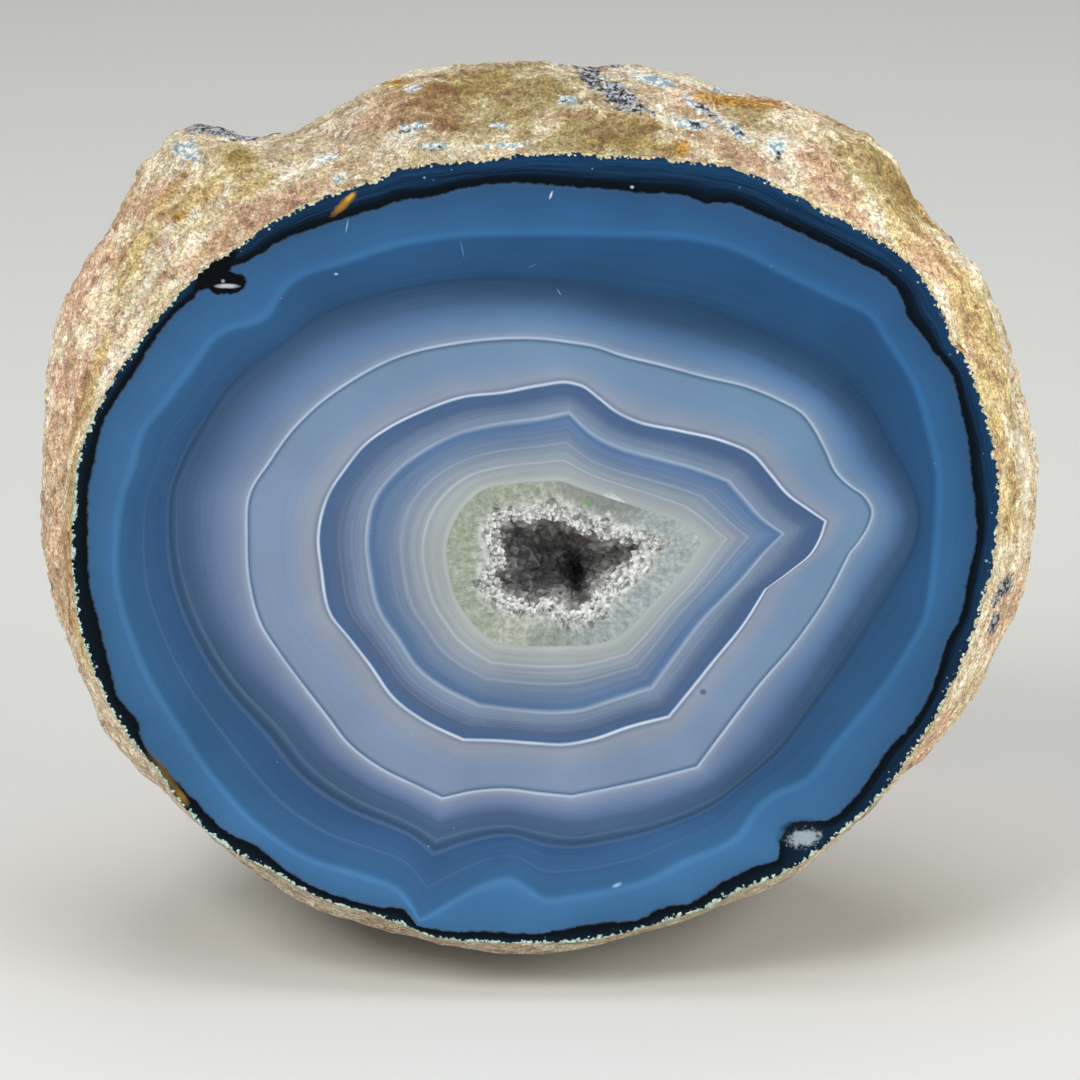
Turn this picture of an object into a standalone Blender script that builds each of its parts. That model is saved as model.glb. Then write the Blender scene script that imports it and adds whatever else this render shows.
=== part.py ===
"""Druzy agate: half of a nodule, sawn and polished, with a hollow lined by quartz crystals.

Run with: blender --background --python part.py
Metres, +Z up. The polished face looks towards -Y and leans back. The stone rests on a small
flat spot at z = 0, and the origin is under the middle of its bounding box.

The stone is drawn in the frame of its own face: u runs right along the face, v up along it,
and w goes straight into the stone. Outlines are points read off the photograph, in pixels of
its 1080 x 1080 frame, and FACE_WIDTH gives them their real size.
"""
import math
import random

import bmesh
import bpy
from mathutils import Vector, noise

# Driving dimensions, in metres and radians
FACE_WIDTH = 0.1109                  # polished face with its dark rim, left to right
FACE_LEAN = math.radians(18.0)       # how far the face leans back from upright
STONE_DEPTH = 0.0490                 # from the face straight in to the back of the stone
VIEW_DISTANCE = 0.620                # from the photograph's viewpoint to the face
HOLLOW_DEPTH = 0.0240                # from the face to the bottom of the hollow in the agate
VOID_DEPTH = 0.0170                  # from the face to the bottom of the space between crystals
GAP = 0.00032                        # between the agate and the quartz that lines it

# Where the middle of the photograph lies on the face, seen from the origin
FACE_POINT = Vector((0.00076, -0.01853, 0.0530))

# How the rind curves back from the face, at the top, at the sides and at the bottom
WIDEST_TOP = 0.0170                  # depth at which the stone is widest
WIDEST_SIDE = 0.0160
WIDEST_BOTTOM = 0.0075
FULLNESS_TOP = 1.85                  # 2 is an ellipse, more is squarer
FULLNESS_SIDE = 2.3
FULLNESS_BOTTOM = 4.6
POLE_RISE = 0.0020                   # how far the back's middle lies above the face's, along v

# Relief of the rind: broad lumps, ledges with steep edges, small knobs, and pits
LUMP_SIZE = 0.0210
LUMP_HEIGHT = 0.0013
LEDGE_SIZE = 0.0130
LEDGE_HEIGHT = 0.00055
LEDGE_STEEPNESS = 5.0
KNOB_SIZE = 0.0070
KNOB_HEIGHT = 0.0007
PIT_COUNT = 34
PIT_WIDTH = (0.0045, 0.0095)
PIT_DEPTH = (0.0007, 0.0017)
EDGE_FADE = 0.0060                   # the relief dies away over this depth behind the face
POLE_FADE = 0.0280                   # the fine relief dies away over this radius round the back's middle
WORN_BELOW = 0.0140                  # near the flat spot the relief is worn down
WORN_RELIEF = 0.25
OUTLINE_BLUR = math.radians(34.0)    # the outline's corners are smoothed this far at the back

# The hollow and the void are cups of this fullness, as seen from the side
CUP_FULLNESS = 2.4

# Crystals
CRYSTAL_COUNT = 80
CRYSTAL_RADIUS = (0.00095, 0.00150)
CRYSTAL_REACH = (0.0011, 0.0023)     # how far a crystal's tip stands off the quartz it grows from
CRYSTAL_ROOT = 0.0016                # how far its foot is sunk in the quartz
CRYSTAL_LEAN = 0.35                  # how far it leans from the wall's own direction
CRYSTAL_TAPER = 0.8                  # width of its foot, as a share of its shoulder
SHOULDER = 0.35                      # where its pyramid starts, as a share of its reach
UNEVEN_SHOULDER = 0.25               # how far its corners stand up or down, as a share of its radius
UNEVEN_TIP = 0.3
MOUTH_CROWDING = 0.8                 # less than 1 puts fewer crystals at the mouth of the void
BOTTOM_TURN = 1.3                    # how fully crystals turn towards the mouth at the void's bottom
SEED = 18

# Detail of the meshes
STONE_SEGMENTS = 92
FRONT_RINGS = 7
BACK_RINGS = 17
PROFILE_STEPS = 90                   # fine steps from which the back's rings are spaced evenly
HOLLOW_SEGMENTS = 44
HOLLOW_RINGS = 7
FRONT_MARGIN = 0.003                 # how far cutters stand out in front of the face
CREASE = math.radians(38.0)          # the agate is shaded smooth below this angle between faces

# Outlines, in pixels of the photograph, clockwise from the top
PICTURE_CENTRE = (540, 540)
HOLLOW_CENTRE = (572, 562)
FACE_EDGE = [
    (520, 160), (600, 162), (680, 167), (745, 180), (800, 205), (855, 235), (900, 270),
    (930, 310), (960, 352), (973, 400), (990, 460), (996, 520), (990, 580), (975, 640),
    (948, 692), (910, 745), (868, 792), (830, 832), (790, 862), (730, 893), (670, 918),
    (600, 937), (520, 944), (440, 935), (380, 917), (320, 900), (265, 868), (215, 835),
    (175, 792), (140, 745), (105, 690), (85, 630), (74, 570), (73, 510), (77, 450),
    (92, 400), (118, 350), (155, 300), (200, 262), (250, 235), (310, 207), (380, 180),
    (460, 165),
]
STONE_EDGE = [
    (548, 57), (600, 60), (680, 73), (740, 91), (790, 102), (840, 127), (893, 155),
    (912, 185), (935, 222), (983, 268), (998, 305), (1015, 345), (1030, 395), (1041, 450),
    (1043, 490), (1033, 545), (1020, 592), (1000, 640), (975, 685), (940, 730), (890, 785),
    (830, 842), (770, 882), (690, 920), (610, 940), (530, 953), (450, 942), (370, 922),
    (290, 895), (240, 865), (200, 830), (150, 785), (110, 735), (78, 675), (62, 610),
    (48, 570), (38, 515), (38, 470), (42, 410), (48, 350), (70, 300), (92, 250),
    (118, 205), (135, 170), (150, 148), (185, 126), (240, 133), (300, 122), (350, 102),
    (390, 76), (440, 68), (490, 63),
]
QUARTZ_EDGE = [
    (561, 483), (520, 483), (485, 490), (457, 517), (447, 559), (460, 604), (496, 642),
    (561, 646), (616, 639), (653, 602), (694, 554), (701, 540), (680, 524), (618, 503),
    (590, 495),
]
VOID_EDGE = [
    (551, 508), (517, 509), (493, 520), (487, 534), (494, 555), (486, 577), (500, 600),
    (526, 611), (549, 611), (581, 614), (604, 600), (642, 572), (655, 545), (648, 533),
    (612, 528), (588, 518),
]

# Chips that the photograph shows: pixel, depth behind the face, width and how deep
CHIPS = [
    ((230, 128), 0.0200, 0.0120, 0.0022),
    ((150, 150), 0.0120, 0.0060, 0.0009),
    ((600, 85), 0.0120, 0.0070, 0.0013),
    ((640, 110), 0.0070, 0.0050, 0.0009),
    ((912, 180), 0.0180, 0.0060, 0.0013),
    ((972, 258), 0.0170, 0.0080, 0.0016),
    ((1005, 608), 0.0080, 0.0050, 0.0008),
]


def pixel_size():
    """Real size of one pixel on the face, in metres."""
    across = [point[0] for point in FACE_EDGE]
    return FACE_WIDTH / (max(across) - min(across))


def polar(outline, centre):
    """An outline's points as (angle, radius in metres) about a centre, in order of angle."""
    size = pixel_size()
    turned = []
    for x, y in outline:
        right = (x - centre[0]) * size
        up = (centre[1] - y) * size
        turned.append((math.atan2(up, right) % math.tau, math.hypot(right, up)))
    return sorted(turned)


def radius_at(turned, angle):
    """Radius of a closed outline at any angle, on a smooth curve through its points."""
    count = len(turned)
    angle %= math.tau
    after = next((i for i in range(count) if turned[i][0] > angle), 0)
    four = [turned[(after + step) % count] for step in (-2, -1, 0, 1)]
    angles = [four[0][0]]
    for near in four[1:]:
        angles.append(angles[-1] + (near[0] - angles[-1]) % math.tau)
    radii = [near[1] for near in four]
    span = angles[2] - angles[1]
    part = ((angle - angles[1]) % math.tau) / span
    slope_in = (radii[2] - radii[0]) / (angles[2] - angles[0]) * span
    slope_out = (radii[3] - radii[1]) / (angles[3] - angles[1]) * span
    square, cube = part * part, part ** 3
    return ((2 * cube - 3 * square + 1) * radii[1] + (cube - 2 * square + part) * slope_in
            + (3 * square - 2 * cube) * radii[2] + (cube - square) * slope_out)


def face_place(point):
    """A pixel of the photograph as (u, v) on the face."""
    size = pixel_size()
    return (point[0] - PICTURE_CENTRE[0]) * size, (PICTURE_CENTRE[1] - point[1]) * size


def to_world(u, v, w):
    """A point of the face's own frame as a point of the model."""
    lean_sin, lean_cos = math.sin(FACE_LEAN), math.cos(FACE_LEAN)
    return FACE_POINT + Vector((u, v * lean_sin + w * lean_cos, v * lean_cos - w * lean_sin))


def around(angle, top, side, bottom):
    """A value that changes smoothly round the stone from top to sides to bottom."""
    height = math.sin(angle)
    end = top if height > 0 else bottom
    return side + (end - side) * height * height


def pits():
    """The photograph's chips, and pits strewn over the back, as directions from the face's middle."""
    found = []
    for pixel, depth, width, deep in CHIPS:
        across, up = face_place(pixel)
        farther = (VIEW_DISTANCE + depth) / VIEW_DISTANCE
        found.append((Vector((across * farther, up * farther, depth)).normalized(), width, deep))
    draw = random.Random(SEED)
    while len(found) < len(CHIPS) + PIT_COUNT:
        way = Vector([draw.uniform(-1.0, 1.0) for _ in range(3)])
        if 0.1 < way.length < 1.0 and way.normalized().z > 0.35:
            found.append((way.normalized(), draw.uniform(*PIT_WIDTH), draw.uniform(*PIT_DEPTH)))
    return found


def relief(place, hollows):
    """How far the rind stands out of, or lies below, its smooth form at one place."""
    ledge = noise.noise(place / LEDGE_SIZE + Vector((2.7, 8.1, 5.5)))
    height = LEDGE_HEIGHT * math.tanh(LEDGE_STEEPNESS * ledge)
    height += KNOB_HEIGHT * noise.noise(place / KNOB_SIZE + Vector((7.3, 1.9, 4.1)))
    height *= min(1.0, math.hypot(place.x, place.y) / POLE_FADE)
    height += LUMP_HEIGHT * noise.noise(place / LUMP_SIZE)
    for way, width, deep in hollows:
        away = (place.normalized() - way).length * place.length / width
        if away < 1.0:
            height -= deep * (1.0 - away * away)
    worn = min(1.0, max(WORN_RELIEF, to_world(*place).z / WORN_BELOW))
    return height * worn * min(1.0, place.z / EDGE_FADE)


def blurred_radius(turned, angle):
    """Radius of an outline with its corners smoothed away."""
    steps = (-1.0, -0.6, -0.2, 0.2, 0.6, 1.0)
    return sum(radius_at(turned, angle + step * OUTLINE_BLUR) for step in steps) / len(steps)


def back_profile(fullness, radius, depth):
    """Evenly spaced steps down the back of one half-section, as shares of its radius and depth."""
    fine = []
    for step in range(PROFILE_STEPS + 1):
        turn = 0.5 * math.pi * step / PROFILE_STEPS
        fine.append((math.cos(turn) ** (2.0 / fullness), math.sin(turn) ** (2.0 / fullness)))
    lengths = [0.0]
    for near, far in zip(fine, fine[1:]):
        lengths.append(lengths[-1] + math.hypot((far[0] - near[0]) * radius, (far[1] - near[1]) * depth))
    chosen = []
    for ring in range(BACK_RINGS):
        wanted = lengths[-1] * ring / BACK_RINGS
        step = next(i for i in range(PROFILE_STEPS) if lengths[i + 1] > wanted)
        part = (wanted - lengths[step]) / (lengths[step + 1] - lengths[step])
        near, far = fine[step], fine[step + 1]
        chosen.append((near[0] + (far[0] - near[0]) * part, near[1] + (far[1] - near[1]) * part))
    return chosen


def stone_sections():
    """Rings of the stone in its face's frame, from the face's edge back to the pole."""
    face = polar(FACE_EDGE, PICTURE_CENTRE)
    edge = polar(STONE_EDGE, PICTURE_CENTRE)
    hollows = pits()
    rings = [[] for _ in range(FRONT_RINGS + BACK_RINGS)]
    for segment in range(STONE_SEGMENTS):
        angle = math.tau * segment / STONE_SEGMENTS
        widest = around(angle, WIDEST_TOP, WIDEST_SIDE, WIDEST_BOTTOM)
        fullness = around(angle, FULLNESS_TOP, FULLNESS_SIDE, FULLNESS_BOTTOM)
        farther = (VIEW_DISTANCE + widest) / VIEW_DISTANCE
        face_radius = radius_at(face, angle)
        sharp_radius = radius_at(edge, angle) * farther
        blunt_radius = blurred_radius(edge, angle) * farther
        start = math.acos(min(0.995, face_radius / sharp_radius))
        front_depth = widest / math.sin(start)
        back = back_profile(fullness, blunt_radius, STONE_DEPTH - widest)
        for index, ring in enumerate(rings):
            if index < FRONT_RINGS:
                turn = start * (1.0 - index / FRONT_RINGS)
                radius = sharp_radius * math.cos(turn)
                depth = widest - front_depth * math.sin(turn)
                rise = 0.0
            else:
                shrink, part = back[index - FRONT_RINGS]
                radius = sharp_radius + (blunt_radius - sharp_radius) * min(1.0, 1.5 * part)
                radius *= shrink
                depth = widest + (STONE_DEPTH - widest) * part
                rise = POLE_RISE * part ** 4
            place = Vector((radius * math.cos(angle), radius * math.sin(angle) + rise, depth))
            backward = max(0.0, depth - widest) / (STONE_DEPTH - widest)
            outward = Vector((math.cos(angle), math.sin(angle), 0.0)) * (1.0 - backward ** 2)
            outward.z = backward ** 2
            place += outward.normalized() * relief(place, hollows)
            if index == 0:
                place.z = 0.0
            ring.append(place)
    return rings


def cup_shrink(part):
    """Width of a cup at a share of its depth, as a share of its width at the face."""
    return (1.0 - part ** CUP_FULLNESS) ** (1.0 / CUP_FULLNESS)


def cup_sections(outline, inset, depth):
    """Rings of a cup that goes in from the face, and stands out in front of it."""
    turned = polar(outline, HOLLOW_CENTRE)
    middle = Vector((*face_place(HOLLOW_CENTRE), 0.0))
    rings = []
    for index in range(-1, HOLLOW_RINGS):
        part = math.sin(0.5 * math.pi * max(index, 0) / HOLLOW_RINGS)
        shrink = cup_shrink(part)
        ring = []
        for segment in range(HOLLOW_SEGMENTS):
            angle = math.tau * segment / HOLLOW_SEGMENTS
            radius = (radius_at(turned, angle) - inset) * shrink
            inward = -FRONT_MARGIN if index < 0 else part * depth
            ring.append(middle + Vector((radius * math.cos(angle), radius * math.sin(angle), inward)))
        rings.append(ring)
    return rings, middle + Vector((0.0, 0.0, depth))


def new_object(name, mesh):
    """An object that holds a finished bmesh."""
    data = bpy.data.meshes.new(name)
    mesh.to_mesh(data)
    mesh.free()
    return bpy.data.objects.new(name, data)


def loft(name, rings, pole):
    """A closed solid through rings of points, flat at the first ring and pointed at the pole."""
    mesh = bmesh.new()
    rows = [[mesh.verts.new(to_world(*point)) for point in ring] for ring in rings]
    tip = mesh.verts.new(to_world(*pole))
    count = len(rows[0])
    mesh.faces.new(rows[0])
    for near, far in zip(rows, rows[1:]):
        for index in range(count):
            after = (index + 1) % count
            mesh.faces.new((near[index], far[index], far[after], near[after]))
    for index in range(count):
        mesh.faces.new((rows[-1][index], tip, rows[-1][(index + 1) % count]))
    bmesh.ops.recalc_face_normals(mesh, faces=mesh.faces)
    return new_object(name, mesh)


def void_place(angle, part):
    """A point on the wall of the void, and the direction that looks out of the wall."""
    turned = polar(VOID_EDGE, HOLLOW_CENTRE)
    middle = Vector((*face_place(HOLLOW_CENTRE), 0.0))
    radius = radius_at(turned, angle) * cup_shrink(part)
    place = middle + Vector((radius * math.cos(angle), radius * math.sin(angle), part * VOID_DEPTH))
    inward = Vector((-math.cos(angle), -math.sin(angle), -BOTTOM_TURN * part ** 3))
    return place, inward.normalized()


def crystal(mesh, place, direction, radius, reach, turn, draw):
    """One six-sided crystal: a prism sunk in the quartz, ending in a pyramid of flat faces."""
    side = direction.cross(Vector((0.31, 0.17, 0.93))).normalized()
    other = direction.cross(side)
    corners = []
    for corner in range(6):
        angle = turn + math.tau * corner / 6
        corners.append((side * math.cos(angle) + other * math.sin(angle)) * radius)
    foot = place - direction * CRYSTAL_ROOT
    shoulder = place + direction * reach * SHOULDER
    tip = place + direction * reach + corners[0] * draw.uniform(-UNEVEN_TIP, UNEVEN_TIP)
    low = [mesh.verts.new(to_world(*(foot + corner * CRYSTAL_TAPER))) for corner in corners]
    high = []
    for corner in corners:
        step = direction * draw.uniform(-UNEVEN_SHOULDER, UNEVEN_SHOULDER) * radius
        high.append(mesh.verts.new(to_world(*(shoulder + corner + step))))
    point = mesh.verts.new(to_world(*tip))
    faces = [mesh.faces.new(low)]
    for index in range(6):
        after = (index + 1) % 6
        faces.append(mesh.faces.new((low[index], high[index], high[after], low[after])))
        faces.append(mesh.faces.new((high[index], point, high[after])))
    bmesh.ops.recalc_face_normals(mesh, faces=faces)


def crystals(name):
    """All crystals of the crust, spread evenly over the wall of the void."""
    draw = random.Random(SEED)
    mesh = bmesh.new()
    golden = math.pi * (3.0 - math.sqrt(5.0))
    for index in range(CRYSTAL_COUNT):
        part = (index + 0.5) / CRYSTAL_COUNT
        place, direction = void_place(index * golden, part ** MOUTH_CROWDING)
        lean = Vector([draw.uniform(-1.0, 1.0) for _ in range(3)]) * CRYSTAL_LEAN
        crystal(mesh, place, (direction + lean).normalized(), draw.uniform(*CRYSTAL_RADIUS),
                draw.uniform(*CRYSTAL_REACH), draw.uniform(0.0, math.tau), draw)
    return new_object(name, mesh)


def front_block(name):
    """A block in front of the face, which saws off what stands out of it."""
    mesh = bmesh.new()
    bmesh.ops.create_cube(mesh, size=1.0)
    for vert in mesh.verts:
        u, v, w = vert.co
        vert.co = to_world(u * FACE_WIDTH, v * FACE_WIDTH, (w - 0.5) * FACE_WIDTH)
    bmesh.ops.recalc_face_normals(mesh, faces=mesh.faces)
    return new_object(name, mesh)


def floor_block(name):
    """A block under z = 0, which grinds the flat spot off the stone's lowest lump."""
    mesh = bmesh.new()
    bmesh.ops.create_cube(mesh, size=2.0 * FACE_WIDTH)
    bmesh.ops.translate(mesh, verts=mesh.verts, vec=(0.0, 0.0, -FACE_WIDTH))
    return new_object(name, mesh)


def add_boolean(target, cutter, operation, overlapping=False):
    """A live Boolean modifier with the exact solver."""
    modifier = target.modifiers.new(cutter.name, "BOOLEAN")
    modifier.operation = operation
    modifier.solver = "EXACT"
    modifier.use_self = overlapping
    modifier.object = cutter
    return modifier


def shells(mesh):
    """A mesh's separate closed shells, as lists of faces."""
    left = set(mesh.faces)
    found = []
    while left:
        first = left.pop()
        shell, waiting = [first], [first]
        while waiting:
            for edge in waiting.pop().edges:
                for face in edge.link_faces:
                    if face in left:
                        left.remove(face)
                        shell.append(face)
                        waiting.append(face)
        found.append(shell)
    return found


def keep_outer_shell(target):
    """Make the cut shape the object's own mesh, without the air pockets shut in by crystals."""
    bpy.context.view_layer.update()
    shape = target.evaluated_get(bpy.context.evaluated_depsgraph_get())
    data = bpy.data.meshes.new_from_object(shape)
    mesh = bmesh.new()
    mesh.from_mesh(data)
    for pocket in sorted(shells(mesh), key=len)[:-1]:
        bmesh.ops.delete(mesh, geom=pocket, context="FACES")
    mesh.to_mesh(data)
    mesh.free()
    target.modifiers.clear()
    target.data = data


def hide_cutter(cutter, collection):
    """Cutters stay in the file as wires, out of the model."""
    collection.objects.link(cutter)
    cutter.hide_render = True
    cutter.display_type = "WIRE"


def material(name, colour, roughness, metallic=0.0):
    """A Principled material, its colour in linear light."""
    made = bpy.data.materials.new(name)
    made.use_nodes = True
    shader = made.node_tree.nodes["Principled BSDF"]
    shader.inputs["Base Color"].default_value = (*colour, 1.0)
    shader.inputs["Roughness"].default_value = roughness
    shader.inputs["Metallic"].default_value = metallic
    made.diffuse_color = (*colour, 1.0)
    return made


def clear_objects():
    """Take the scene's own objects away."""
    for old in list(bpy.data.objects):
        bpy.data.objects.remove(old, do_unlink=True)


def main():
    clear_objects()
    parts = bpy.data.collections.new("druzy_agate")
    cutters = bpy.data.collections.new("cutters")
    for collection in (parts, cutters):
        bpy.context.scene.collection.children.link(collection)

    # The agate: rind and banded chalcedony in one stone
    stone_rings = stone_sections()
    back_pole = (0.0, POLE_RISE, STONE_DEPTH)
    agate = loft("agate", stone_rings, back_pole)
    parts.objects.link(agate)
    agate.data.materials.append(material("banded_agate", (0.16, 0.24, 0.38), 0.12))
    hollow_rings, hollow_pole = cup_sections(QUARTZ_EDGE, 0.0, HOLLOW_DEPTH)
    hollow = loft("hollow_cutter", hollow_rings, hollow_pole)
    hide_cutter(hollow, cutters)
    add_boolean(agate, hollow, "DIFFERENCE")
    floor = floor_block("flat_spot_cutter")
    hide_cutter(floor, cutters)
    add_boolean(agate, floor, "DIFFERENCE")
    agate.data.shade_smooth()
    agate.data.set_sharp_from_angle(angle=CREASE)

    # The quartz: a lining with its crystals, sawn flush with the face
    crust_rings, crust_pole = cup_sections(QUARTZ_EDGE, GAP, HOLLOW_DEPTH - GAP)
    crust = loft("quartz_crust", crust_rings, crust_pole)
    parts.objects.link(crust)
    crust.data.materials.append(material("druzy_quartz", (0.62, 0.66, 0.64), 0.15))
    void_rings, void_pole = cup_sections(VOID_EDGE, 0.0, VOID_DEPTH)
    void = loft("void_cutter", void_rings, void_pole)
    hide_cutter(void, cutters)
    add_boolean(crust, void, "DIFFERENCE")
    points = crystals("crystal_points")
    hide_cutter(points, cutters)
    add_boolean(crust, points, "UNION", overlapping=True)
    saw = front_block("saw_cutter")
    hide_cutter(saw, cutters)
    add_boolean(crust, saw, "DIFFERENCE")
    keep_outer_shell(crust)


main()
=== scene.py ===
"""Half of a druzy agate: rough rind, polished banded face and a hollow lined with quartz crystals.

The stone is described in the frame of its own sawn face, as part of the photograph: u runs right
along the face, v up along it, and w straight into the stone. Outlines on the face are points read
off the photograph, in pixels of its 1080 x 1080 frame. Lengths are in metres unless a name says mm.
"""
import math
import random

import bmesh
import bpy
import numpy as np
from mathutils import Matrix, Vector, noise


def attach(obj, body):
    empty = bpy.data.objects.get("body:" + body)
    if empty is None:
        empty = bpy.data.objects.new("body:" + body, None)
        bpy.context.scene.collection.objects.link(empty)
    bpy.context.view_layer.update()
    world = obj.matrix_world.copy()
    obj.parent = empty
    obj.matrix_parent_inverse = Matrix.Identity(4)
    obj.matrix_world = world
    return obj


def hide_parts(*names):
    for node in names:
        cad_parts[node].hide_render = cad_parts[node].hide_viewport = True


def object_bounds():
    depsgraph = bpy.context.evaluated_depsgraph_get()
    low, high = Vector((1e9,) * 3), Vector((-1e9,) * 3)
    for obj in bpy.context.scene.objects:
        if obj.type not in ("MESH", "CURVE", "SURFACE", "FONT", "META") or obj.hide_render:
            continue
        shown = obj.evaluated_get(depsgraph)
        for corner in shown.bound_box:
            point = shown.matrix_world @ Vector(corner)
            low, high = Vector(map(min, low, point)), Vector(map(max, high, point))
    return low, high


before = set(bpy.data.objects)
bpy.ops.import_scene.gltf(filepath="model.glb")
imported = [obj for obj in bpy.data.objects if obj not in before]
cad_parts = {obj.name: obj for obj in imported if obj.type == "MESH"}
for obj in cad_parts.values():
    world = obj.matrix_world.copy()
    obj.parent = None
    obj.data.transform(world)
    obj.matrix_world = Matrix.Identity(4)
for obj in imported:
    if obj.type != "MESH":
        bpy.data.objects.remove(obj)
CAD_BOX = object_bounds()

bl_info = {
    "name": "Druzy agate",
    "version": (1, 0, 0),
    "blender": (4, 5, 0),
    "location": "3D View > Sidebar > Agate",
    "description": "Models the rind, the banded face and the quartz of half an agate",
    "category": "Add Mesh",
}

MM = 0.001

# The sawn face: where the middle of the photograph lies on it, its lean and its scale
FACE_POINT = Vector((0.00076, -0.01853, 0.0530))
FACE_LEAN = math.radians(18.0)
FACE_WIDTH = 0.1109
FACE_WIDTH_PIXELS = 923
PIXEL = FACE_WIDTH / FACE_WIDTH_PIXELS
PICTURE_SIZE = 1080
PICTURE_CENTRE = (540, 540)
HOLLOW_CENTRE = (572, 562)
STONE_CENTRE = (540, 548)
VIEW_DISTANCE = 0.620
SENSOR = 36.0
HOLLOW_DEPTH = 0.0240
VOID_DEPTH = 0.0170
CUP_FULLNESS = 2.4
HOLLOW_REACH = 22.0 * MM             # every face of the hollow lies this near its middle
SIDES_START = 30.0 * MM              # the outline is only fitted further out than this

# Folds: growth rays along which every band turns, clockwise from the top. An outline lists its
# points by fold, each stretch starting at the fold, and names the folds where it turns sharply.
FOLDS = "ABCDEFGHIJ"
RIM_INNER_EDGE = dict(
    sharp="G",
    A=[(577, 188), (602, 189), (643, 193), (685, 196), (705, 203), (726, 203), (764, 217),
       (802, 234), (830, 248), (860, 263), (887, 279), (901, 296)],
    B=[(909, 319), (923, 336), (933, 351), (950, 372), (960, 406), (967, 437), (972, 482)],
    C=[(976, 515), (976, 537), (972, 557), (965, 592)],
    D=[(960, 616), (946, 643), (939, 667), (929, 695), (912, 723), (884, 754), (867, 781),
       (850, 802), (829, 819), (812, 821), (795, 822), (780, 839)],
    E=[(778, 857), (753, 867), (719, 884), (692, 902), (661, 908), (640, 919), (609, 922)],
    F=[(574, 927), (540, 933), (482, 931), (448, 931)],
    G=[(417, 926), (403, 909), (379, 907), (344, 898), (317, 888), (288, 871), (261, 849),
       (224, 829), (194, 799), (169, 773), (143, 743), (138, 723), (119, 698), (110, 667)],
    H=[(103, 640), (100, 626), (90, 585), (88, 540)],
    I=[(89, 487), (95, 458), (103, 424), (121, 393), (138, 368), (152, 344), (172, 317)],
    J=[(196, 296), (211, 275), (236, 266), (258, 256), (278, 243), (312, 229), (350, 217),
       (380, 208), (406, 200), (430, 198), (458, 190), (496, 184), (540, 184)],
)
PALE_BLUE_LINE = dict(
    sharp="G",
    A=[(576, 236), (643, 238), (692, 241), (733, 251), (781, 275), (833, 300), (871, 320)],
    B=[(884, 341), (891, 351), (912, 386), (926, 430), (936, 482)],
    C=[(935, 512), (933, 540), (929, 581)],
    D=[(922, 619), (905, 650), (891, 672), (863, 708), (833, 743), (804, 778), (772, 793),
       (756, 806)],
    E=[(747, 818), (736, 834), (716, 846), (681, 860), (651, 876), (599, 890)],
    F=[(574, 894), (540, 895), (530, 888), (510, 877), (489, 881), (448, 902), (432, 912)],
    G=[(420, 919), (414, 907), (402, 890), (362, 873), (310, 857), (262, 826), (214, 774),
       (179, 723), (152, 678)],
    H=[(133, 633), (121, 592), (119, 540)],
    I=[(128, 487), (134, 472), (145, 434), (172, 399), (200, 362), (216, 340)],
    J=[(234, 330), (255, 325), (269, 317), (282, 296), (296, 282), (344, 265), (396, 248),
       (458, 238), (530, 236)],
)
SLATE_CHANGE = dict(
    sharp="EG",
    A=[(570, 297), (620, 310), (698, 328), (760, 349), (789, 363)],
    B=[(833, 392), (860, 421), (877, 451), (901, 486)],
    C=[(912, 515), (909, 538)],
    D=[(880, 583), (848, 631), (804, 696), (763, 749), (735, 775)],
    E=[(719, 787), (687, 802), (657, 813), (613, 822)],
    F=[(569, 828), (540, 823), (506, 817), (475, 820)],
    G=[(439, 829), (411, 813), (363, 791), (315, 756), (290, 724), (251, 686)],
    H=[(219, 641), (200, 600), (188, 552), (186, 520)],
    I=[(188, 487), (197, 465), (210, 443), (239, 395)],
    J=[(277, 363), (321, 331), (379, 309), (443, 296), (506, 293)],
)
WHITE_LINE_1 = dict(
    sharp="DEFG",
    A=[(573, 343), (592, 346), (623, 356), (660, 365), (705, 377), (747, 387), (781, 401)],
    B=[(803, 414), (815, 430), (826, 451), (836, 472), (850, 486), (864, 496)],
    C=[(872, 511), (869, 524), (861, 538)],
    D=[(850, 552), (826, 598), (795, 643), (760, 684), (733, 719), (712, 747)],
    E=[(697, 767), (678, 772), (643, 781), (606, 789)],
    F=[(572, 796), (540, 793), (506, 789), (475, 791)],
    G=[(442, 798), (417, 786), (379, 767), (348, 743), (327, 716), (303, 685), (278, 651)],
    H=[(262, 626), (250, 585), (247, 540)],
    I=[(251, 491), (269, 463), (291, 432)],
    J=[(317, 406), (344, 386), (396, 358), (461, 343), (500, 339), (540, 339)],
)
WHITE_LINE_2 = dict(
    sharp="CDEG",
    A=[(568, 382), (583, 386), (598, 397), (616, 411), (637, 421), (678, 430), (724, 441)],
    B=[(753, 454), (771, 474), (788, 494), (807, 508)],
    C=[(826, 521), (821, 537), (812, 553), (792, 570)],
    D=[(766, 589), (745, 623), (712, 664), (688, 694)],
    E=[(669, 717), (630, 727), (592, 740)],
    F=[(561, 745), (540, 744), (499, 741)],
    G=[(463, 740), (427, 723), (395, 700), (368, 663), (347, 636)],
    H=[(331, 616), (321, 570), (318, 535)],
    I=[(327, 497), (346, 467), (365, 444)],
    J=[(389, 427), (424, 410), (461, 397), (503, 392), (540, 385)],
)
WHITE_LINE_3 = dict(
    sharp="ABCDEG",
    A=[(569, 413), (580, 424), (596, 437), (619, 448), (654, 458), (692, 468)],
    B=[(728, 481), (743, 498), (762, 519)],
    C=[(783, 534), (764, 553), (742, 579)],
    D=[(722, 600), (704, 618), (676, 654)],
    E=[(652, 687), (609, 701), (580, 710)],
    F=[(558, 712), (520, 710)],
    G=[(479, 705), (444, 688), (417, 667), (399, 640)],
    H=[(380, 612), (370, 572), (367, 540)],
    I=[(375, 499), (396, 472)],
    J=[(424, 451), (458, 434), (496, 425), (540, 419)],
)
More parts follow.
